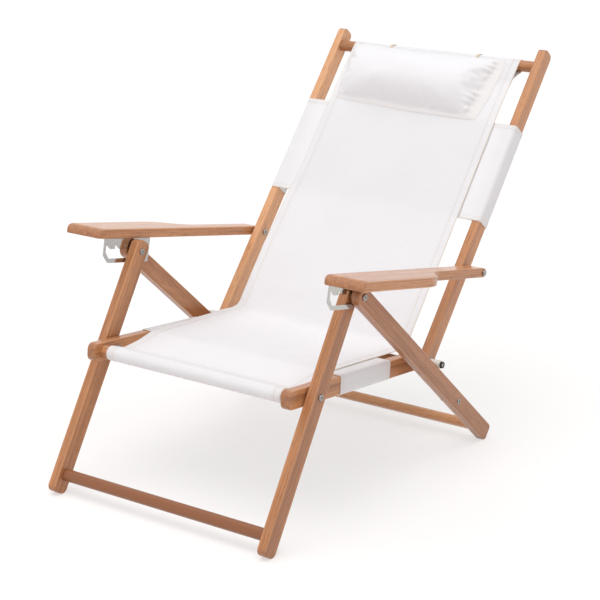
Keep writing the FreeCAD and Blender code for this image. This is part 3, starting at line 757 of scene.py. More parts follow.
def placed(name, data):
    """A new object in the scene."""
    made = bpy.data.objects.new(name, data)
    bpy.context.scene.collection.objects.link(made)
    return made


def mark_cloth(mesh, mapped, edge_tint_and_shade):
    """Give a mesh its cloth map, in metres, and say how much beige edge tint each point gets: partly the
    cut edge's own colour, partly painted light and shade.
    """
    used = np.zeros(len(mesh.loops), np.int32)
    mesh.loops.foreach_get("vertex_index", used)
    layer = mesh.uv_layers.new(name="weave")
    layer.data.foreach_set("uv", mapped[used].astype(np.float32).ravel())
    marked = mesh.attributes.new("edge", "FLOAT", "POINT")
    marked.data.foreach_set("value", edge_tint_and_shade.astype(np.float32))


def skin(name, face, rear, mapped, edge_tint_and_shade):
    """A thin piece of cloth from a face grid and a rear grid of points, closed all round.

    mapped is the cloth map, and the last argument is how much beige edge tint each column gets: partly
    the cut edge's own colour, partly painted light and shade.
    """
    count, width = face.shape[:2]
    shift = count * width
    quads = []
    for i in range(count - 1):
        for k in range(width - 1):
            a, b = i * width + k, (i + 1) * width + k
            quads.append((a, a + 1, b + 1, b))
            quads.append((shift + b, shift + b + 1, shift + a + 1, shift + a))
        a, b = i * width, (i + 1) * width
        quads.append((a, b, shift + b, shift + a))
        a, b = a + width - 1, b + width - 1
        quads.append((b, a, shift + a, shift + b))
    last = (count - 1) * width
    for k in range(width - 1):
        quads.append((k + 1, k, shift + k, shift + k + 1))
        a = last + k
        quads.append((a, a + 1, shift + a + 1, shift + a))
    mesh = bpy.data.meshes.new(name)
    points = np.concatenate([face.reshape(-1, 3), rear.reshape(-1, 3)])
    mesh.from_pydata(points.tolist(), [], quads)
    work = bmesh.new()
    work.from_mesh(mesh)
    bmesh.ops.recalc_face_normals(work, faces=work.faces)
    work.to_mesh(mesh)
    work.free()
    flat = np.concatenate([mapped.reshape(-1, 2)] * 2)
    mark_cloth(mesh, flat, np.tile(edge_tint_and_shade, 2 * count))
    mesh.shade_smooth()
    return placed(name, mesh)


def cloth_map(across, along):
    """The cloth's own map, in metres across it and along it."""
    return np.stack(np.broadcast_arrays(across, along), axis=2)


def raised(x, side, face, out):
    """Points over a line in the side view: at x across it, and out from its face."""
    y, z = (side[:, k, None] + face[:, k, None] * out for k in (0, 1))
    return np.stack([np.broadcast_to(x, y.shape), y, z], axis=2)


def hemmed(look):
    """Places across the sling: x, how far the face and the rear stand off, and how much beige edge tint:
    partly the cut edge's own colour, partly painted shade along the edge and in the stitch groove.
    """
    half, thick = look.half_width, look.thickness
    inner = half - look.hem
    edge = [
        # The beige at the outer edge is partly the cut edge's own colour and partly a painted shade line
        # along it.
        (half, -0.35 * thick, -0.45 * thick, 1.0),
        (half - 0.4 * MM, 0.25 * thick, -1.05 * thick, 0.9),
        (half - 1.2 * MM, 0.55 * thick, -1.30 * thick, 0.35),
        (half - 4.0 * MM, 0.65 * thick, -1.35 * thick, 0.0),
        (inner + 7.0 * MM, 0.65 * thick, -1.35 * thick, 0.0),
        (inner + 4.0 * MM, 0.50 * thick, -1.30 * thick, 0.05),
        # The stitch groove is tinted beige as painted shade.
        (inner + 3.0 * MM, 0.05 * thick, -1.20 * thick, 0.4),
        (inner + 2.0 * MM, 0.50 * thick, -1.30 * thick, 0.05),
        (inner + 0.6 * MM, 0.55 * thick, -1.25 * thick, 0.0),
        (inner, 0.50 * thick, -0.50 * thick, 0.1),
    ]
    plain = inner - 4 * MM
    count = math.ceil(2 * plain / look.step)
    middle = [(x, 0.5 * thick, -0.5 * thick, 0.0) for x in np.linspace(-plain, plain, count + 1)]
    left = [(-x, up, down, edge_tint_and_shade) for x, up, down, edge_tint_and_shade in edge]
    return np.array(left + middle + edge[::-1])


def sling_pieces(look):
    """The seat and the back of the sling, as two meshes that meet smoothly at the bend.

    Each comes with its line, the way its face looks and how far its left hem has crept.
    """
    seat, seat_run = resampled(seat_line(), look.step)
    back, back_run = resampled(back_line(), look.step)
    side = np.concatenate([seat, back[1:]])
    run = np.concatenate([seat_run, seat_run[-1] + back_run[1:]])
    face = faces_of(side)
    columns = hemmed(look)
    x, edge_tint_and_shade = columns[:, 0], columns[:, 3]
    lift = ripple(x[None, :], (run - FRONT_TURN)[:, None], SEAT_RIPPLES)
    lift += ripple(x[None, :], (run - seat_run[-1])[:, None], BACK_RIPPLES)
    lift *= np.clip((look.half_width - np.abs(x)) / RIPPLE_FADE, RIPPLE_LEAST, 1.0)
    past, out_by = np.array(CREEP).T * MM
    creep = np.interp(run - seat_run[-1], past, out_by)
    creep = np.convolve(np.pad(creep, 1, "edge"), np.full(3, 1 / 3), "valid")
    share = np.clip(-x / look.half_width, 0, 1) ** CREEP_FADE
    drawn = x + look.offset - creep[:, None] * share
    grids = [raised(drawn, side, face, stand + lift) for stand in (columns[:, 1], columns[:, 2])]
    mapped = cloth_map(x[None, :], run[:, None])
    whole = skin("whole_sling", *grids, mapped, edge_tint_and_shade)
    normals = np.array([v.normal for v in whole.data.vertices])
    normals = normals.reshape(2, len(side), len(x), 3)
    bpy.data.meshes.remove(whole.data)
    knee = len(seat) - 1
    made = []
    for name, rows in (
        ("sling_seat_canvas", slice(0, knee + 1)),
        ("sling_back_canvas", slice(knee, None)),
    ):
        piece = skin(name, grids[0][rows], grids[1][rows], mapped[rows], edge_tint_and_shade)
        smooth = normals[:, rows].reshape(-1, 3)
        piece.data.normals_split_custom_set_from_vertices(smooth.tolist())
        made.append((piece, side[rows], face[rows], creep[rows]))
    return made


# A band's sleeves: how deep the web is tucked, how far in it is sewn, and its corners.
BAND_TUCK = 1.1 * MM
BAND_SEAM = 14.0 * MM
BAND_CORNER = 2.0 * MM
BAND_SAG = 1.2 * MM
BAND_HEM = 11.0 * MM
BAND_RIB = 4.3 * MM


def band_line(inner, outer, half, step):
    """A band's line across the frame as (x, height): a sleeve round each rail and the web between."""
    tuck, seam = half - BAND_TUCK, inner - BAND_SEAM
    right = [(outer, half), (outer, -half), (inner, -half), (inner, tuck), (seam, tuck)]
    left = [(-x, h) for x, h in reversed(right)]
    return resampled(eased(left + right, BAND_CORNER, FINE_STEP), step)


def band_piece(name, at, inner, outer, half, ends, look):
    """A canvas band sewn round both rails, hemmed along both of its edges.

    Returns the piece, its two rows of stitches and how long its cloth is.
    """
    line, run = band_line(inner, outer, half, look.step)
    face = faces_of(line)
    web = (line[:, 1] > half - 0.3 * MM) & (np.abs(line[:, 0]) < inner)
    sag = np.where(web, BAND_SAG * (1 - (line[:, 0] / inner) ** 2), 0.0)
    low, high = ends
    thick = look.thickness
    # How far in from the end, how thick the hem stands in layers, and how much beige edge tint: the cut
    # edge's own colour at the end, painted shade in the stitch groove.
    inset, swell, edge_tint_and_shade = np.array(
        [
            (0.0, -0.50, 1.0),
            (0.4 * MM, 0.10, 0.8),
            (1.2 * MM, 0.25, 0.3),
            (BAND_HEM - 3.0 * MM, 0.30, 0.0),
            # The stitch groove is tinted beige as painted shade.
            (BAND_HEM - 2.0 * MM, 0.0, 0.4),
            (BAND_HEM - 1.0 * MM, 0.25, 0.0),
            (BAND_HEM, 0.0, 0.1),
        ]
    ).T
    steps = math.ceil((high - low - 2 * BAND_HEM) / look.step) + 1
    plain = np.linspace(low + BAND_HEM + 3 * MM, high - BAND_HEM - 3 * MM, steps)
    flat = np.zeros(steps)
    along = np.concatenate([low + inset, plain, high - inset[::-1]])
    swell = np.concatenate([swell, flat, swell[::-1]]) * thick
    edge_tint_and_shade = np.concatenate([edge_tint_and_shade, flat, edge_tint_and_shade[::-1]])
    grids = []
    for stand in (0.5 * thick + swell, np.full(len(swell), -0.5 * thick)):
        off = stand - sag[:, None]
        x, height = (line[:, k, None] + face[:, k, None] * off for k in (0, 1))
        yz = at(along[None, :, None], height[:, :, None])
        grids.append(np.concatenate([x[:, :, None], yz], axis=2))
    made = skin(name, *grids, cloth_map(run[:, None], along[None, :]), edge_tint_and_shade)
    rows = line + face * (0.5 * thick - sag)[:, None]
    sewn = [
        [(x, *at(place, h)) for x, h in rows[3:-3]]
        for place in (low + BAND_HEM - 2 * MM, high - BAND_HEM + 2 * MM)
    ]
    return made, sewn, float(run[-1])


def stitch_tree(made):
    """Geometry nodes that lay stitches along the edges of a mesh."""
    tree = bpy.data.node_groups.new("stitches", "GeometryNodeTree")
    sockets = tree.interface
    sockets.new_socket("Geometry", in_out="INPUT", socket_type="NodeSocketGeometry")
    for name in ("Pitch", "Stitch", "Thread"):
        sockets.new_socket(name, in_out="INPUT", socket_type="NodeSocketFloat")
    sockets.new_socket("Geometry", in_out="OUTPUT", socket_type="NodeSocketGeometry")
    given = add(tree, "NodeGroupInput").outputs
    curve = add(tree, "GeometryNodeMeshToCurve", {0: given["Geometry"]}).outputs[0]
    spacing = {"Curve": curve, "Length": given["Pitch"]}
    even = add(tree, "GeometryNodeResampleCurve", spacing, mode="LENGTH")
    way = {"Vector": add(tree, "GeometryNodeInputTangent").outputs[0]}
    turn = add(tree, "FunctionNodeAlignRotationToVector", way, axis="Z")
    thickness = given["Thread"]
    size = add(tree, "ShaderNodeCombineXYZ", {0: thickness, 1: thickness, 2: given["Stitch"]})
    ball = add(tree, "GeometryNodeMeshUVSphere", {"Segments": 6, "Rings": 4, "Radius": 0.5})
    laid = add(
        tree,
        "GeometryNodeInstanceOnPoints",
        {
            "Points": even.outputs[0],
            "Instance": ball.outputs[0],
            "Rotation": turn.outputs[0],
            "Scale": size.outputs[0],
        },
    )
    real = add(tree, "GeometryNodeRealizeInstances", {0: laid.outputs[0]})
    dyed = add(tree, "GeometryNodeSetMaterial", {"Geometry": real.outputs[0], "Material": made})
    add(tree, "NodeGroupOutput", {0: dyed.outputs[0]})
    return tree


def applied(made, modifier):
    """What a modifier makes of an object, as the object's own mesh."""
    plain = made.data
    ready = made.evaluated_get(bpy.context.evaluated_depsgraph_get())
    mesh = bpy.data.meshes.new_from_object(ready)
    made.modifiers.remove(modifier)
    made.data = mesh
    bpy.data.meshes.remove(plain)
    return mesh


def stitches(name, lines, look, tree):
    """Rows of stitches along lines of points, as a plain mesh."""
    points, edges = [], []
    for line in lines:
        first = len(points)
        points += [tuple(p) for p in line]
        edges += [(first + i, first + i + 1) for i in range(len(line) - 1)]
    guide = bpy.data.meshes.new(name + "_guide")
    guide.from_pydata(points, edges, [])
    made = placed(name, guide)
    sewn = made.modifiers.new("stitches", "NODES")
    sewn.node_group = tree
    sizes = {"Pitch": look.pitch, "Stitch": look.stitch, "Thread": look.thread_size}
    for item in tree.interface.items_tree:
        if item.item_type == "SOCKET" and item.in_out == "INPUT" and item.name in sizes:
            sewn[item.identifier] = sizes[item.name]
    mesh = applied(made, sewn)
    if not mesh.polygons:
        raise RuntimeError(name + " has no stitches")
    mesh.shade_smooth()
    return made


def across_cloth(side, face, index, look, stand):
    """A line of points straight across the sling at one place along it."""
    y, z = side[index] + face[index] * stand
    count = math.ceil(2 * look.half_width / look.step)
    places = np.linspace(-look.half_width, look.half_width, count + 1)[1:-1]
    return [(x + look.offset, y, z) for x in places]


def coloured(made, finish):
    """Give a piece its one material."""
    made.data.materials.clear()
    made.data.materials.append(finish)


class BEACHCHAIR_OT_teak(Operator):
    """Oil the legs, rails, arms, crossbars and dowels"""

    bl_idname = "beachchair.teak"
    bl_label = "Oil the Wood"

    def execute(self, context):
        look = context.scene.beachchair_wood
        for number, name in enumerate(GRAIN):
            dress(name, oiled_teak(name, look, number))
        return {"FINISHED"}


FASTENERS = {"bolts", "nuts", "washers", "screws", "pins"}


class BEACHCHAIR_OT_fittings(Operator):
    """Polish the brackets, bolts, screws, washers and pivot fittings"""

    bl_idname = "beachchair.fittings"
    bl_label = "Polish the Fittings"

    def execute(self, context):
        look = context.scene.beachchair_metal
        plate = steel("polished_stainless", look.polished, 0.06, 0.2, 0.6 * MM)
        bright = steel("bright_steel", look.bright, 0.16, 0.36, 0.4 * MM)
        dark = steel("dark_steel", look.dark, 0.34, 0.6, 0.5 * MM)
        nylon = moulded_nylon("white_nylon", look.nylon)
        special = {"back_pivot_sleeves": nylon, "back_pivot_nuts": dark}
        special |= {"notch_bracket_" + hand: plate for hand in HANDS}
        for name in frame["nodes"]:
            if name in special:
                dress(name, special[name])
            elif FASTENERS.intersection(name.split("_")):
                dress(name, bright)
        return {"FINISHED"}


CANVAS_GLOW = 0.22
# Where the stitches lie: in from the hem's inner edge, and out from the cloth's middle.
STITCH_ROW = 3.0 * MM
HEM_STITCH_OUT = 0.35 * MM
SEAM_STITCH_OUT = 0.5 * MM


def sew_sling(half, node, seam, look, canvas, tree):
    """Finish one half of the sling: its stitches and its canvas.
    """
    piece, side, face, creep = half
    away = np.linalg.norm(side - seam, axis=1)
    # The seam shows where the cloth faces up.
    away[face[:, 1] < 0] += 1.0
    row = look.half_width - look.hem + STITCH_ROW
    left = look.offset - row - creep * (row / look.half_width) ** CREEP_FADE
    right = np.full(len(side), look.offset + row)
    rows = [raised(x[:, None], side, face, HEM_STITCH_OUT)[:, 0] for x in (left, right)]
    rows.append(across_cloth(side, face, int(np.argmin(away)), look, SEAM_STITCH_OUT))
    sewn = stitches(node + "_stitches", rows, look, tree)
    coloured(piece, canvas)
    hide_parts(node)
    for part in (piece, sewn):
        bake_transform(part)


class BEACHCHAIR_OT_sling(Operator):
    """Sew the seat and the back of the canvas sling"""

    bl_idname = "beachchair.sling"
    bl_label = "Sew the Sling"

    def execute(self, context):
        look = context.scene.beachchair_canvas
        canvas = white_canvas("cotton_canvas", look, CANVAS_GLOW)
        tree = stitch_tree(spun_thread("sewing_thread", look.thread))
        seat, back = sling_pieces(look)
        sew_sling(
            seat,
            "sling_seat",
            seat_at(FRONT_SEAM, FRONT_SEAM_LIFT),
            look,
            canvas,
            tree,
        )
        sew_sling(
            back,
            "sling_back",
            back_at(TOP_SEAM, BACK_LIFT),
            look,
            canvas,
            tree,
        )
        return {"FINISHED"}


# Each band: its way along, the rails' inner and outer sides, half their depth, and its ends, in mm.
BANDS = {
    "seat": (seat_at, 219.6, 240.4, 18.9, (95.0, 267.0)),
    "back": (back_at, 240.8, 260.6, 17.4, (308.0, 531.0)),
}


class BEACHCHAIR_OT_bands(Operator):
    """Sew the canvas bands round the seat rails and the back rails"""

    bl_idname = "beachchair.bands"
    bl_label = "Sew the Bands"

    def execute(self, context):
        look = context.scene.beachchair_canvas
        canvas = white_canvas("ribbed_canvas", look, CANVAS_GLOW, BAND_RIB)
        tree = bpy.data.node_groups["stitches"]
        for half, (at, *sizes, ends) in BANDS.items():
            node = half + "_band"
            low, high = (end * MM for end in ends)
            inner, outer, deep = (size * MM for size in sizes)
            band, rows, cut = band_piece(
                node + "_canvas", at, inner, outer, deep, (low, high), look
            )
            coloured(band, canvas)
            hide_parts(node)
            sewn = stitches(node + "_stitches", rows, look, tree)
            for piece in (band, sewn):
                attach(piece, half + "_frame")
        return {"FINISHED"}


# The pillow's cover: its mesh, half its cut size as shares of the seams' size, and how it is filled.
PILLOW_COLUMNS = 78
PILLOW_ROWS = 32
CUT_WIDE = 0.56
CUT_HIGH = 0.63
PANELS_APART = 2.5 * MM
GATHERED_COLUMNS = 3.0
PILLOW_GLOW = 0.12
SHARP_ANGLE = math.radians(100.0)
# How far its seams keep the filled shape and the flat one, and how much its left end leans.
SEAMS_FREE = 0.3
SEAMS_HELD = 0.7
LEFT_LEAN = 0.3


def pillow_case(look, columns, rows):
    """The pillow's cover laid flat: two panels that share their outer edge.

    Returns the points, the faces of the front panel and then of the rear panel, how much
    each point is drawn in by the gathered ends, and the outer edge in order.
    """
    half_x = CUT_WIDE * (look.left + look.right)
    half_y = CUT_HIGH * (look.high - look.low)
    points, faces, ends, index = [], [], [], {}

    def key(side, i, k):
        """The name of a point. The rim belongs to both panels."""
        rim = i in (0, rows) or k in (0, columns)
        return ("rim" if rim else side, i, k)

    for side in (1, -1):
        for i in range(rows + 1):
            for k in range(columns + 1):
                name = key(side, i, k)
                if name in index:
                    continue
                u, v = 2 * k / columns - 1, 2 * i / rows - 1
                x = half_x * u * (1 - 0.03 * v * v * abs(u) ** 3)
                y = half_y * v * (1 - 0.04 * u * u * abs(v) ** 3)
                # A little filling between the two panels to start from.
                z = 0 if name[0] == "rim" else side * PANELS_APART
                index[name] = len(points)
                points.append((x, y, z))
                ends.append(max(0.0, 1.0 - min(k, columns - k) / GATHERED_COLUMNS))
    for side in (1, -1):
        for i in range(rows):
            for k in range(columns):
                round_face = ((i, k), (i, k + 1), (i + 1, k + 1), (i + 1, k))
                faces.append([index[key(side, r, c)] for r, c in round_face][::side])
    edge = [(0, k) for k in range(columns)] + [(i, columns) for i in range(rows)]
    edge += [(rows, columns - k) for k in range(columns)]
    edge += [(rows - i, 0) for i in range(rows)]
    return np.array(points), faces, ends, [index[("rim", i, k)] for i, k in edge]


def filled(points, faces, ends, look):
    """Where the cover's points come to rest when its filling pushes it out."""
    scene = bpy.context.scene
    mesh = bpy.data.meshes.new("pillow_case")
    mesh.from_pydata(points.tolist(), [], faces)
    cover = placed("pillow_case", mesh)
    gathered = cover.vertex_groups.new(name="ends")
    for number, share in enumerate(ends):
        if share:
            gathered.add([number], share, "REPLACE")
    filling = cover.modifiers.new("filling", "CLOTH")
    cloth = filling.settings
    cloth.quality = 8
    cloth.mass = 0.25
    cloth.tension_stiffness = 30
    cloth.compression_stiffness = 25
    cloth.shear_stiffness = 8
    cloth.bending_stiffness = 0.05
    cloth.air_damping = 2
    cloth.use_pressure = True
    cloth.uniform_pressure_force = look.pressure
    cloth.vertex_group_shrink = "ends"
    cloth.shrink_max = look.gather
    cloth.effector_weights.gravity = 0
    filling.collision_settings.use_collision = False
    for number in range(1, look.frames + 1):
        scene.frame_set(number)
    ready = cover.evaluated_get(bpy.context.evaluated_depsgraph_get())
    settled = np.array([v.co for v in ready.data.vertices])
    scene.frame_set(1)
    bpy.data.objects.remove(cover)
    bpy.data.meshes.remove(mesh)
    return settled


def sling_front(up):
    """How far the sling's face lies in front of the back rails' middle."""
    top = TOP_RING + 2.0 * MM
    return 0.5 * MM + np.interp(up, (BACK_FLAT_TO, TOP_DOWEL_UP), (BACK_LIFT, top))


def settled_on_back(look, points, settled):
    """The filled cover set to its place: x, up the back, and in front of it, in metres.

    Also returns how far along and up the cover each point lies, from 0 to 1.
    """
    low, high = settled.min(0), settled.max(0)
    share = (settled - low) / (high - low)
    # Its seams are held straighter than a free pillow's, because it leans on the sling.
    flat = (points - points.min(0)) / (points.max(0) - points.min(0))
    share[:, :2] = SEAMS_FREE * share[:, :2] + SEAMS_HELD * flat[:, :2]
    lean = look.skew * (2 * share[:, 1] - 1)
    left, right = -look.left - LEFT_LEAN * lean, look.right + lean
    x = left + share[:, 0] * (right - left)
    low_seam = look.low + look.tilt * (1 - 2 * share[:, 0])
    up = low_seam + share[:, 1] * (look.high - low_seam)
    front = settled[:, 2] / high[2] * (look.crown - look.seam)
    behind = settled[:, 2] / -low[2] * (look.seam - look.behind)
    stand = look.seam + np.where(settled[:, 2] > 0, front, behind)
    return np.stack([x, up, sling_front(up) + stand], axis=1), share


def pleats(along, inside, height, pitch, sway, sway_size, reach):
    """Pleats along a gathered seam, which fade with how far inside it they are."""
    wave = np.sin(along / pitch + sway * np.sin(along / sway_size))
    near = np.clip(inside / (3 * MM), 0, 1) * np.exp(-((inside / reach) ** 2))
    return height * wave * near


def puckers(place, look):
    """How far the gathered end and the lower seam pleat the cover."""
    x, up, stand = place.T
    lean = look.skew * (2 * (up - look.low) / (look.high - look.low) - 1)
    inside, above = look.right + lean - x, up - look.low
    lift = pleats(up, inside, 3.0 * MM, 2.6 * MM, 2.2, 13.0 * MM, 18.0 * MM)
    lift += pleats(x, above, 0.9 * MM, 5.1 * MM, 3.0, 37.0 * MM, 11.0 * MM)
    off = stand - sling_front(up) - look.seam
    return lift * np.clip(off / (4 * MM), 0, 1)


# The pillow's flat border, as shares of its width below: at the right, left and top, and how it widens.
BORDER_RIGHT = 1.3
BORDER_LEFT = -0.2
BORDER_TOP = 0.1
BORDER_WIDENS = 0.9
BORDER_STAND = 0.5 * MM
PANEL_GAP = 0.6 * MM
# Beige tints, both painted: on the border for the cream look that light through its layers gives, and at
# the gathered ends for the shade in their small folds.
BORDER_PAINTED_LIGHT = 0.25
ENDS_PAINTED_SHADE = 0.2
RIM_FROM = 0.9
RIM_FADE = 0.1
SEAM_CREASE = 0.7


def pillow_mesh(look, case, settled):
    """The filled cover on the back, with a flat border outside the seam, wide below and at the right."""
    points, faces, ends, rim = case
    place, share = settled_on_back(look, points, settled)
    count, edges = len(points), len(rim)
    reach = np.abs(points).max(0)
    near = np.clip((np.abs(points[rim] / reach)[:, :2] - RIM_FROM) / RIM_FADE, 0, 1)
    right, upper = share[rim, 0] > 0.5, share[rim, 1] > 0.5
    across = near[:, 0] * np.where(right, BORDER_RIGHT * look.flange, BORDER_LEFT * look.flange)
    across += near[:, 0] * right * BORDER_WIDENS * look.flange * (1 - share[rim, 1])
    along = near[:, 1] * np.where(upper, BORDER_TOP, -1.0) * look.flange
    rear, outer = place[rim].copy(), place[rim].copy()
    rear[:, 2] -= PANEL_GAP
    outer[:, 0] += across
    outer[:, 1] += along
    outer[:, 2] = sling_front(outer[:, 1]) + BORDER_STAND
    place = np.concatenate([place, rear, outer])
    mapped = np.concatenate([points, points[rim], points[rim]])[:, :2]
    mapped[count + edges :, 0] += across
    mapped[count + edges :, 1] += along
    # Beige tint: painted shade at the gathered ends, painted light on the border.
    edge_tint_and_shade = np.concatenate([ENDS_PAINTED_SHADE * np.array(ends), np.full(2 * edges, BORDER_PAINTED_LIGHT)])
    half = len(faces) // 2
    twin = {index: count + n for n, index in enumerate(rim)}
    quads = faces[:half] + [[twin.get(i, i) for i in f] for f in faces[half:]]
    for n, index in enumerate(rim):
        after = (n + 1) % edges
        first, last = count + edges + n, count + edges + after
        quads.append((rim[after], index, first, last))
        quads.append((twin[index], twin[rim[after]], last, first))
    mesh = bpy.data.meshes.new("pillow_cover")
    mesh.from_pydata([(x, *back_at(a, f)) for x, a, f in place], [], quads)
    mark_cloth(mesh, mapped, edge_tint_and_shade)
    # The seam and the border's edge stay crisp when the cover is made finer.
    seamed = set(rim)
    crisp = np.zeros(len(mesh.edges), dtype=np.float32)
    for edge in mesh.edges:
        if min(edge.vertices) >= count + edges:
            crisp[edge.index] = 1.0
        elif seamed.issuperset(edge.vertices):
            crisp[edge.index] = SEAM_CREASE
    held = mesh.attributes.new("crease_edge", "FLOAT", "EDGE")
    held.data.foreach_set("value", crisp)
    return mesh


class BEACHCHAIR_OT_pillow(Operator):
    """Sew and fill the head pillow"""

    bl_idname = "beachchair.pillow"
    bl_label = "Fill the Pillow"

    def execute(self, context):
        look = context.scene.beachchair_pillow
        case = pillow_case(look, PILLOW_COLUMNS, PILLOW_ROWS)
        settled = filled(*case[:3], look)
        cover = placed("pillow_cover", pillow_mesh(look, case, settled))
        finer = cover.modifiers.new("finer", "SUBSURF")
        finer.levels = finer.render_levels = 1
        smooth = applied(cover, finer)
        spots = np.array([v.co for v in smooth.vertices])
        off = spots[:, 1:] - BACK_PIVOT
        place = np.stack([spots[:, 0], off @ BACK_RUN, off @ BACK_FRONT], axis=1)
        spots[:, 1:] += puckers(place, look)[:, None] * BACK_FRONT
        smooth.vertices.foreach_set("co", spots.astype(np.float32).ravel())
        smooth.shade_smooth()
        smooth.set_sharp_from_angle(angle=SHARP_ANGLE)
        coloured(cover, white_canvas("pillow_canvas", context.scene.beachchair_canvas, PILLOW_GLOW))
        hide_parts("pillow")
        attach(cover, "back_frame")
        return {"FINISHED"}


# The tapes: how far each lies from the middle, and their section as x, face and rear in mm.
TAPE_AT = {"left": -108.0 * MM, "right": 108.0 * MM}
TAPE_GAP = 1.6 * MM
TAPE_SKIN = 0.05 * MM
TAPE_YARN = 0.7 * MM
TAPE_GLOW = 0.05
TAPE_SECTION = (
    (-3.5, 0.0, 0.0),
    (-3.3, 0.4, -0.4),
    (-1.6, 0.5, -0.4),
    (0.0, 0.4, -0.4),
    (1.6, 0.5, -0.4),
    (3.3, 0.4, -0.4),
    (3.5, 0.0, 0.0),
)


class BEACHCHAIR_OT_ties(Operator):
    """Tie the pillow to the top dowel with cotton tape"""

    bl_idname = "beachchair.ties"
    bl_label = "Tie the Pillow"

    def execute(self, context):
        look = context.scene.beachchair_canvas
        tape = woven_canvas("cotton_tape", look.tape, look.thread, look.tape, TAPE_YARN, TAPE_GLOW)
        ring = TOP_RING + TAPE_GAP
        front = heading(BACK_FRONT)
        line = [back_at(674.0 * MM, 18.0 * MM)]
        line += arc(TOP_DOWEL, ring, front - 0.2, front - math.pi, FINE_STEP)
        line += [
            TOP_DOWEL - ring * BACK_FRONT - 12.0 * MM * BACK_RUN,
            TOP_DOWEL - (ring - 2.0 * MM) * BACK_FRONT - 30.0 * MM * BACK_RUN,
        ]
        side, run = resampled(line, LINE_STEP)
        face = faces_of(side)
        across, top, under = np.array(TAPE_SECTION).T * MM
        for hand, x in TAPE_AT.items():
            node = "pillow_tie_" + hand
            stands = (top + TAPE_SKIN, under - TAPE_SKIN)
            grids = [raised(across + x, side, face, stand) for stand in stands]
            mapped = cloth_map((across + x)[None, :], run[:, None])
            tie = skin(node + "_tape", *grids, mapped, np.zeros(len(across)))
            coloured(tie, tape)
            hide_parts(node)
            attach(tie, "back_frame")
        return {"FINISHED"}


# The light: the key's spread and direction, and how the tent's light changes upwards and to the rear.
SUN_ANGLE = math.radians(60.0)
SUN_WAY = Vector((0.02, 0.16, -1.0))
TENT_LEVEL = 0.9
TENT_UP = 0.4
TENT_REAR = -0.2
# The camera that was fitted to the photograph.
CAMERA_AT = (1.9905, -2.84744, 1.3982)
CAMERA_RIGHT = Vector((0.81640, 0.57750, 0.0)).normalized()
CAMERA_AHEAD = Vector((-0.55120, 0.77920, -0.29840)).normalized()
SENSOR_WIDTH = 36.0
SEES_TO = 200.0
FLOOR_BELOW = -0.3 * MM


def light_tent(ambient):
    """White cloth all round: brightest overhead, and a little brighter in front than behind."""
    world = bpy.data.worlds.new("light_tent")
    world.use_nodes = True
    tree = world.node_tree
    tree.nodes.clear()
    way = add(tree, "ShaderNodeTexCoord").outputs["Generated"]
    apart = add(tree, "ShaderNodeSeparateXYZ", {0: way}).outputs
    level = maths(tree, "MULTIPLY_ADD", apart[2], TENT_UP * ambient, TENT_LEVEL * ambient)
    level = maths(tree, "MULTIPLY_ADD", apart[1], TENT_REAR * ambient, level)
    soft, white = (
        add(tree, "ShaderNodeBackground", {"Color": WHITE, "Strength": strength}).outputs[0]
        for strength in (level, 1.0)
    )
    mixed = layered(tree, seen_directly(tree), soft, white)
    add(tree, "ShaderNodeOutputWorld", {"Surface": mixed})
    return world


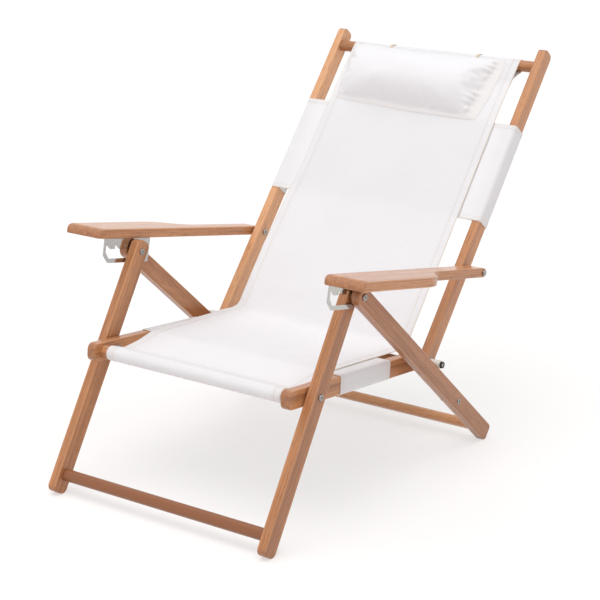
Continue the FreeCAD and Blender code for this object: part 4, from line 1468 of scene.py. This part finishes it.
class BEACHCHAIR_OT_stage(Operator):
    """Set up the floor, the light and the camera"""

    bl_idname = "beachchair.stage"
    bl_label = "Set the Stage"

    def execute(self, context):
        scene = context.scene
        look = scene.beachchair_stage
        half = look.floor_size / 2
        corners = ((-half, -half), (half, -half), (half, half), (-half, half))
        mesh = bpy.data.meshes.new("studio_floor")
        mesh.from_pydata([(x, y, FLOOR_BELOW) for x, y in corners], [], [(0, 1, 2, 3)])
        floor = placed("studio_floor", mesh)
        coloured(floor, studio_floor("painted_board", look.floor))
        key = bpy.data.lights.new("key_light", "SUN")
        key.energy = look.sun
        key.angle = SUN_ANGLE
        lamp = placed("key_light", key)
        lamp.rotation_euler = SUN_WAY.to_track_quat("-Z", "Y").to_euler()
        scene.world = light_tent(look.ambient)
        lens = bpy.data.cameras.new("camera")
        lens.lens = look.lens
        lens.sensor_width = SENSOR_WIDTH
        lens.clip_end = SEES_TO
        eye = placed("camera", lens)
        above = CAMERA_RIGHT.cross(CAMERA_AHEAD).normalized()
        turn = Matrix((CAMERA_RIGHT, above, -CAMERA_AHEAD)).transposed().to_4x4()
        eye.matrix_world = Matrix.Translation(CAMERA_AT) @ turn
        scene.camera = eye
        scene.view_settings.view_transform = "Standard"
        return {"FINISHED"}


OPERATORS = (
    BEACHCHAIR_OT_teak,
    BEACHCHAIR_OT_fittings,
    BEACHCHAIR_OT_sling,
    BEACHCHAIR_OT_bands,
    BEACHCHAIR_OT_pillow,
    BEACHCHAIR_OT_ties,
    BEACHCHAIR_OT_stage,
)
LOOKS = {
    "beachchair_wood": WoodLook,
    "beachchair_metal": MetalLook,
    "beachchair_canvas": CanvasLook,
    "beachchair_pillow": PillowLook,
    "beachchair_stage": StageLook,
}


class BEACHCHAIR_PT_panel(Panel):
    """Lists the steps that dress the chair"""

    bl_idname = "BEACHCHAIR_PT_panel"
    bl_label = "Beach Chair"
    bl_space_type = "VIEW_3D"
    bl_region_type = "UI"
    bl_category = "Beach Chair"

    def draw(self, context):
        for step in OPERATORS:
            self.layout.operator(step.bl_idname)
        for name in LOOKS:
            group = getattr(context.scene, name)
            box = self.layout.box()
            for item in group.__annotations__:
                box.prop(group, item)


CLASSES = (*LOOKS.values(), *OPERATORS, BEACHCHAIR_PT_panel)


def register():
    for item in CLASSES:
        bpy.utils.register_class(item)
    for name, group in LOOKS.items():
        setattr(bpy.types.Scene, name, PointerProperty(type=group))


def unregister():
    for name in LOOKS:
        delattr(bpy.types.Scene, name)
    for item in reversed(CLASSES):
        bpy.utils.unregister_class(item)


def main():
    register()
    bpy.ops.beachchair.teak()
    bpy.ops.beachchair.fittings()
    bpy.ops.beachchair.sling()
    bpy.ops.beachchair.bands()
    bpy.ops.beachchair.pillow()
    bpy.ops.beachchair.ties()
    bpy.ops.beachchair.stage()
    bpy.context.view_layer.update()


if __name__ == "__main__":
    main()
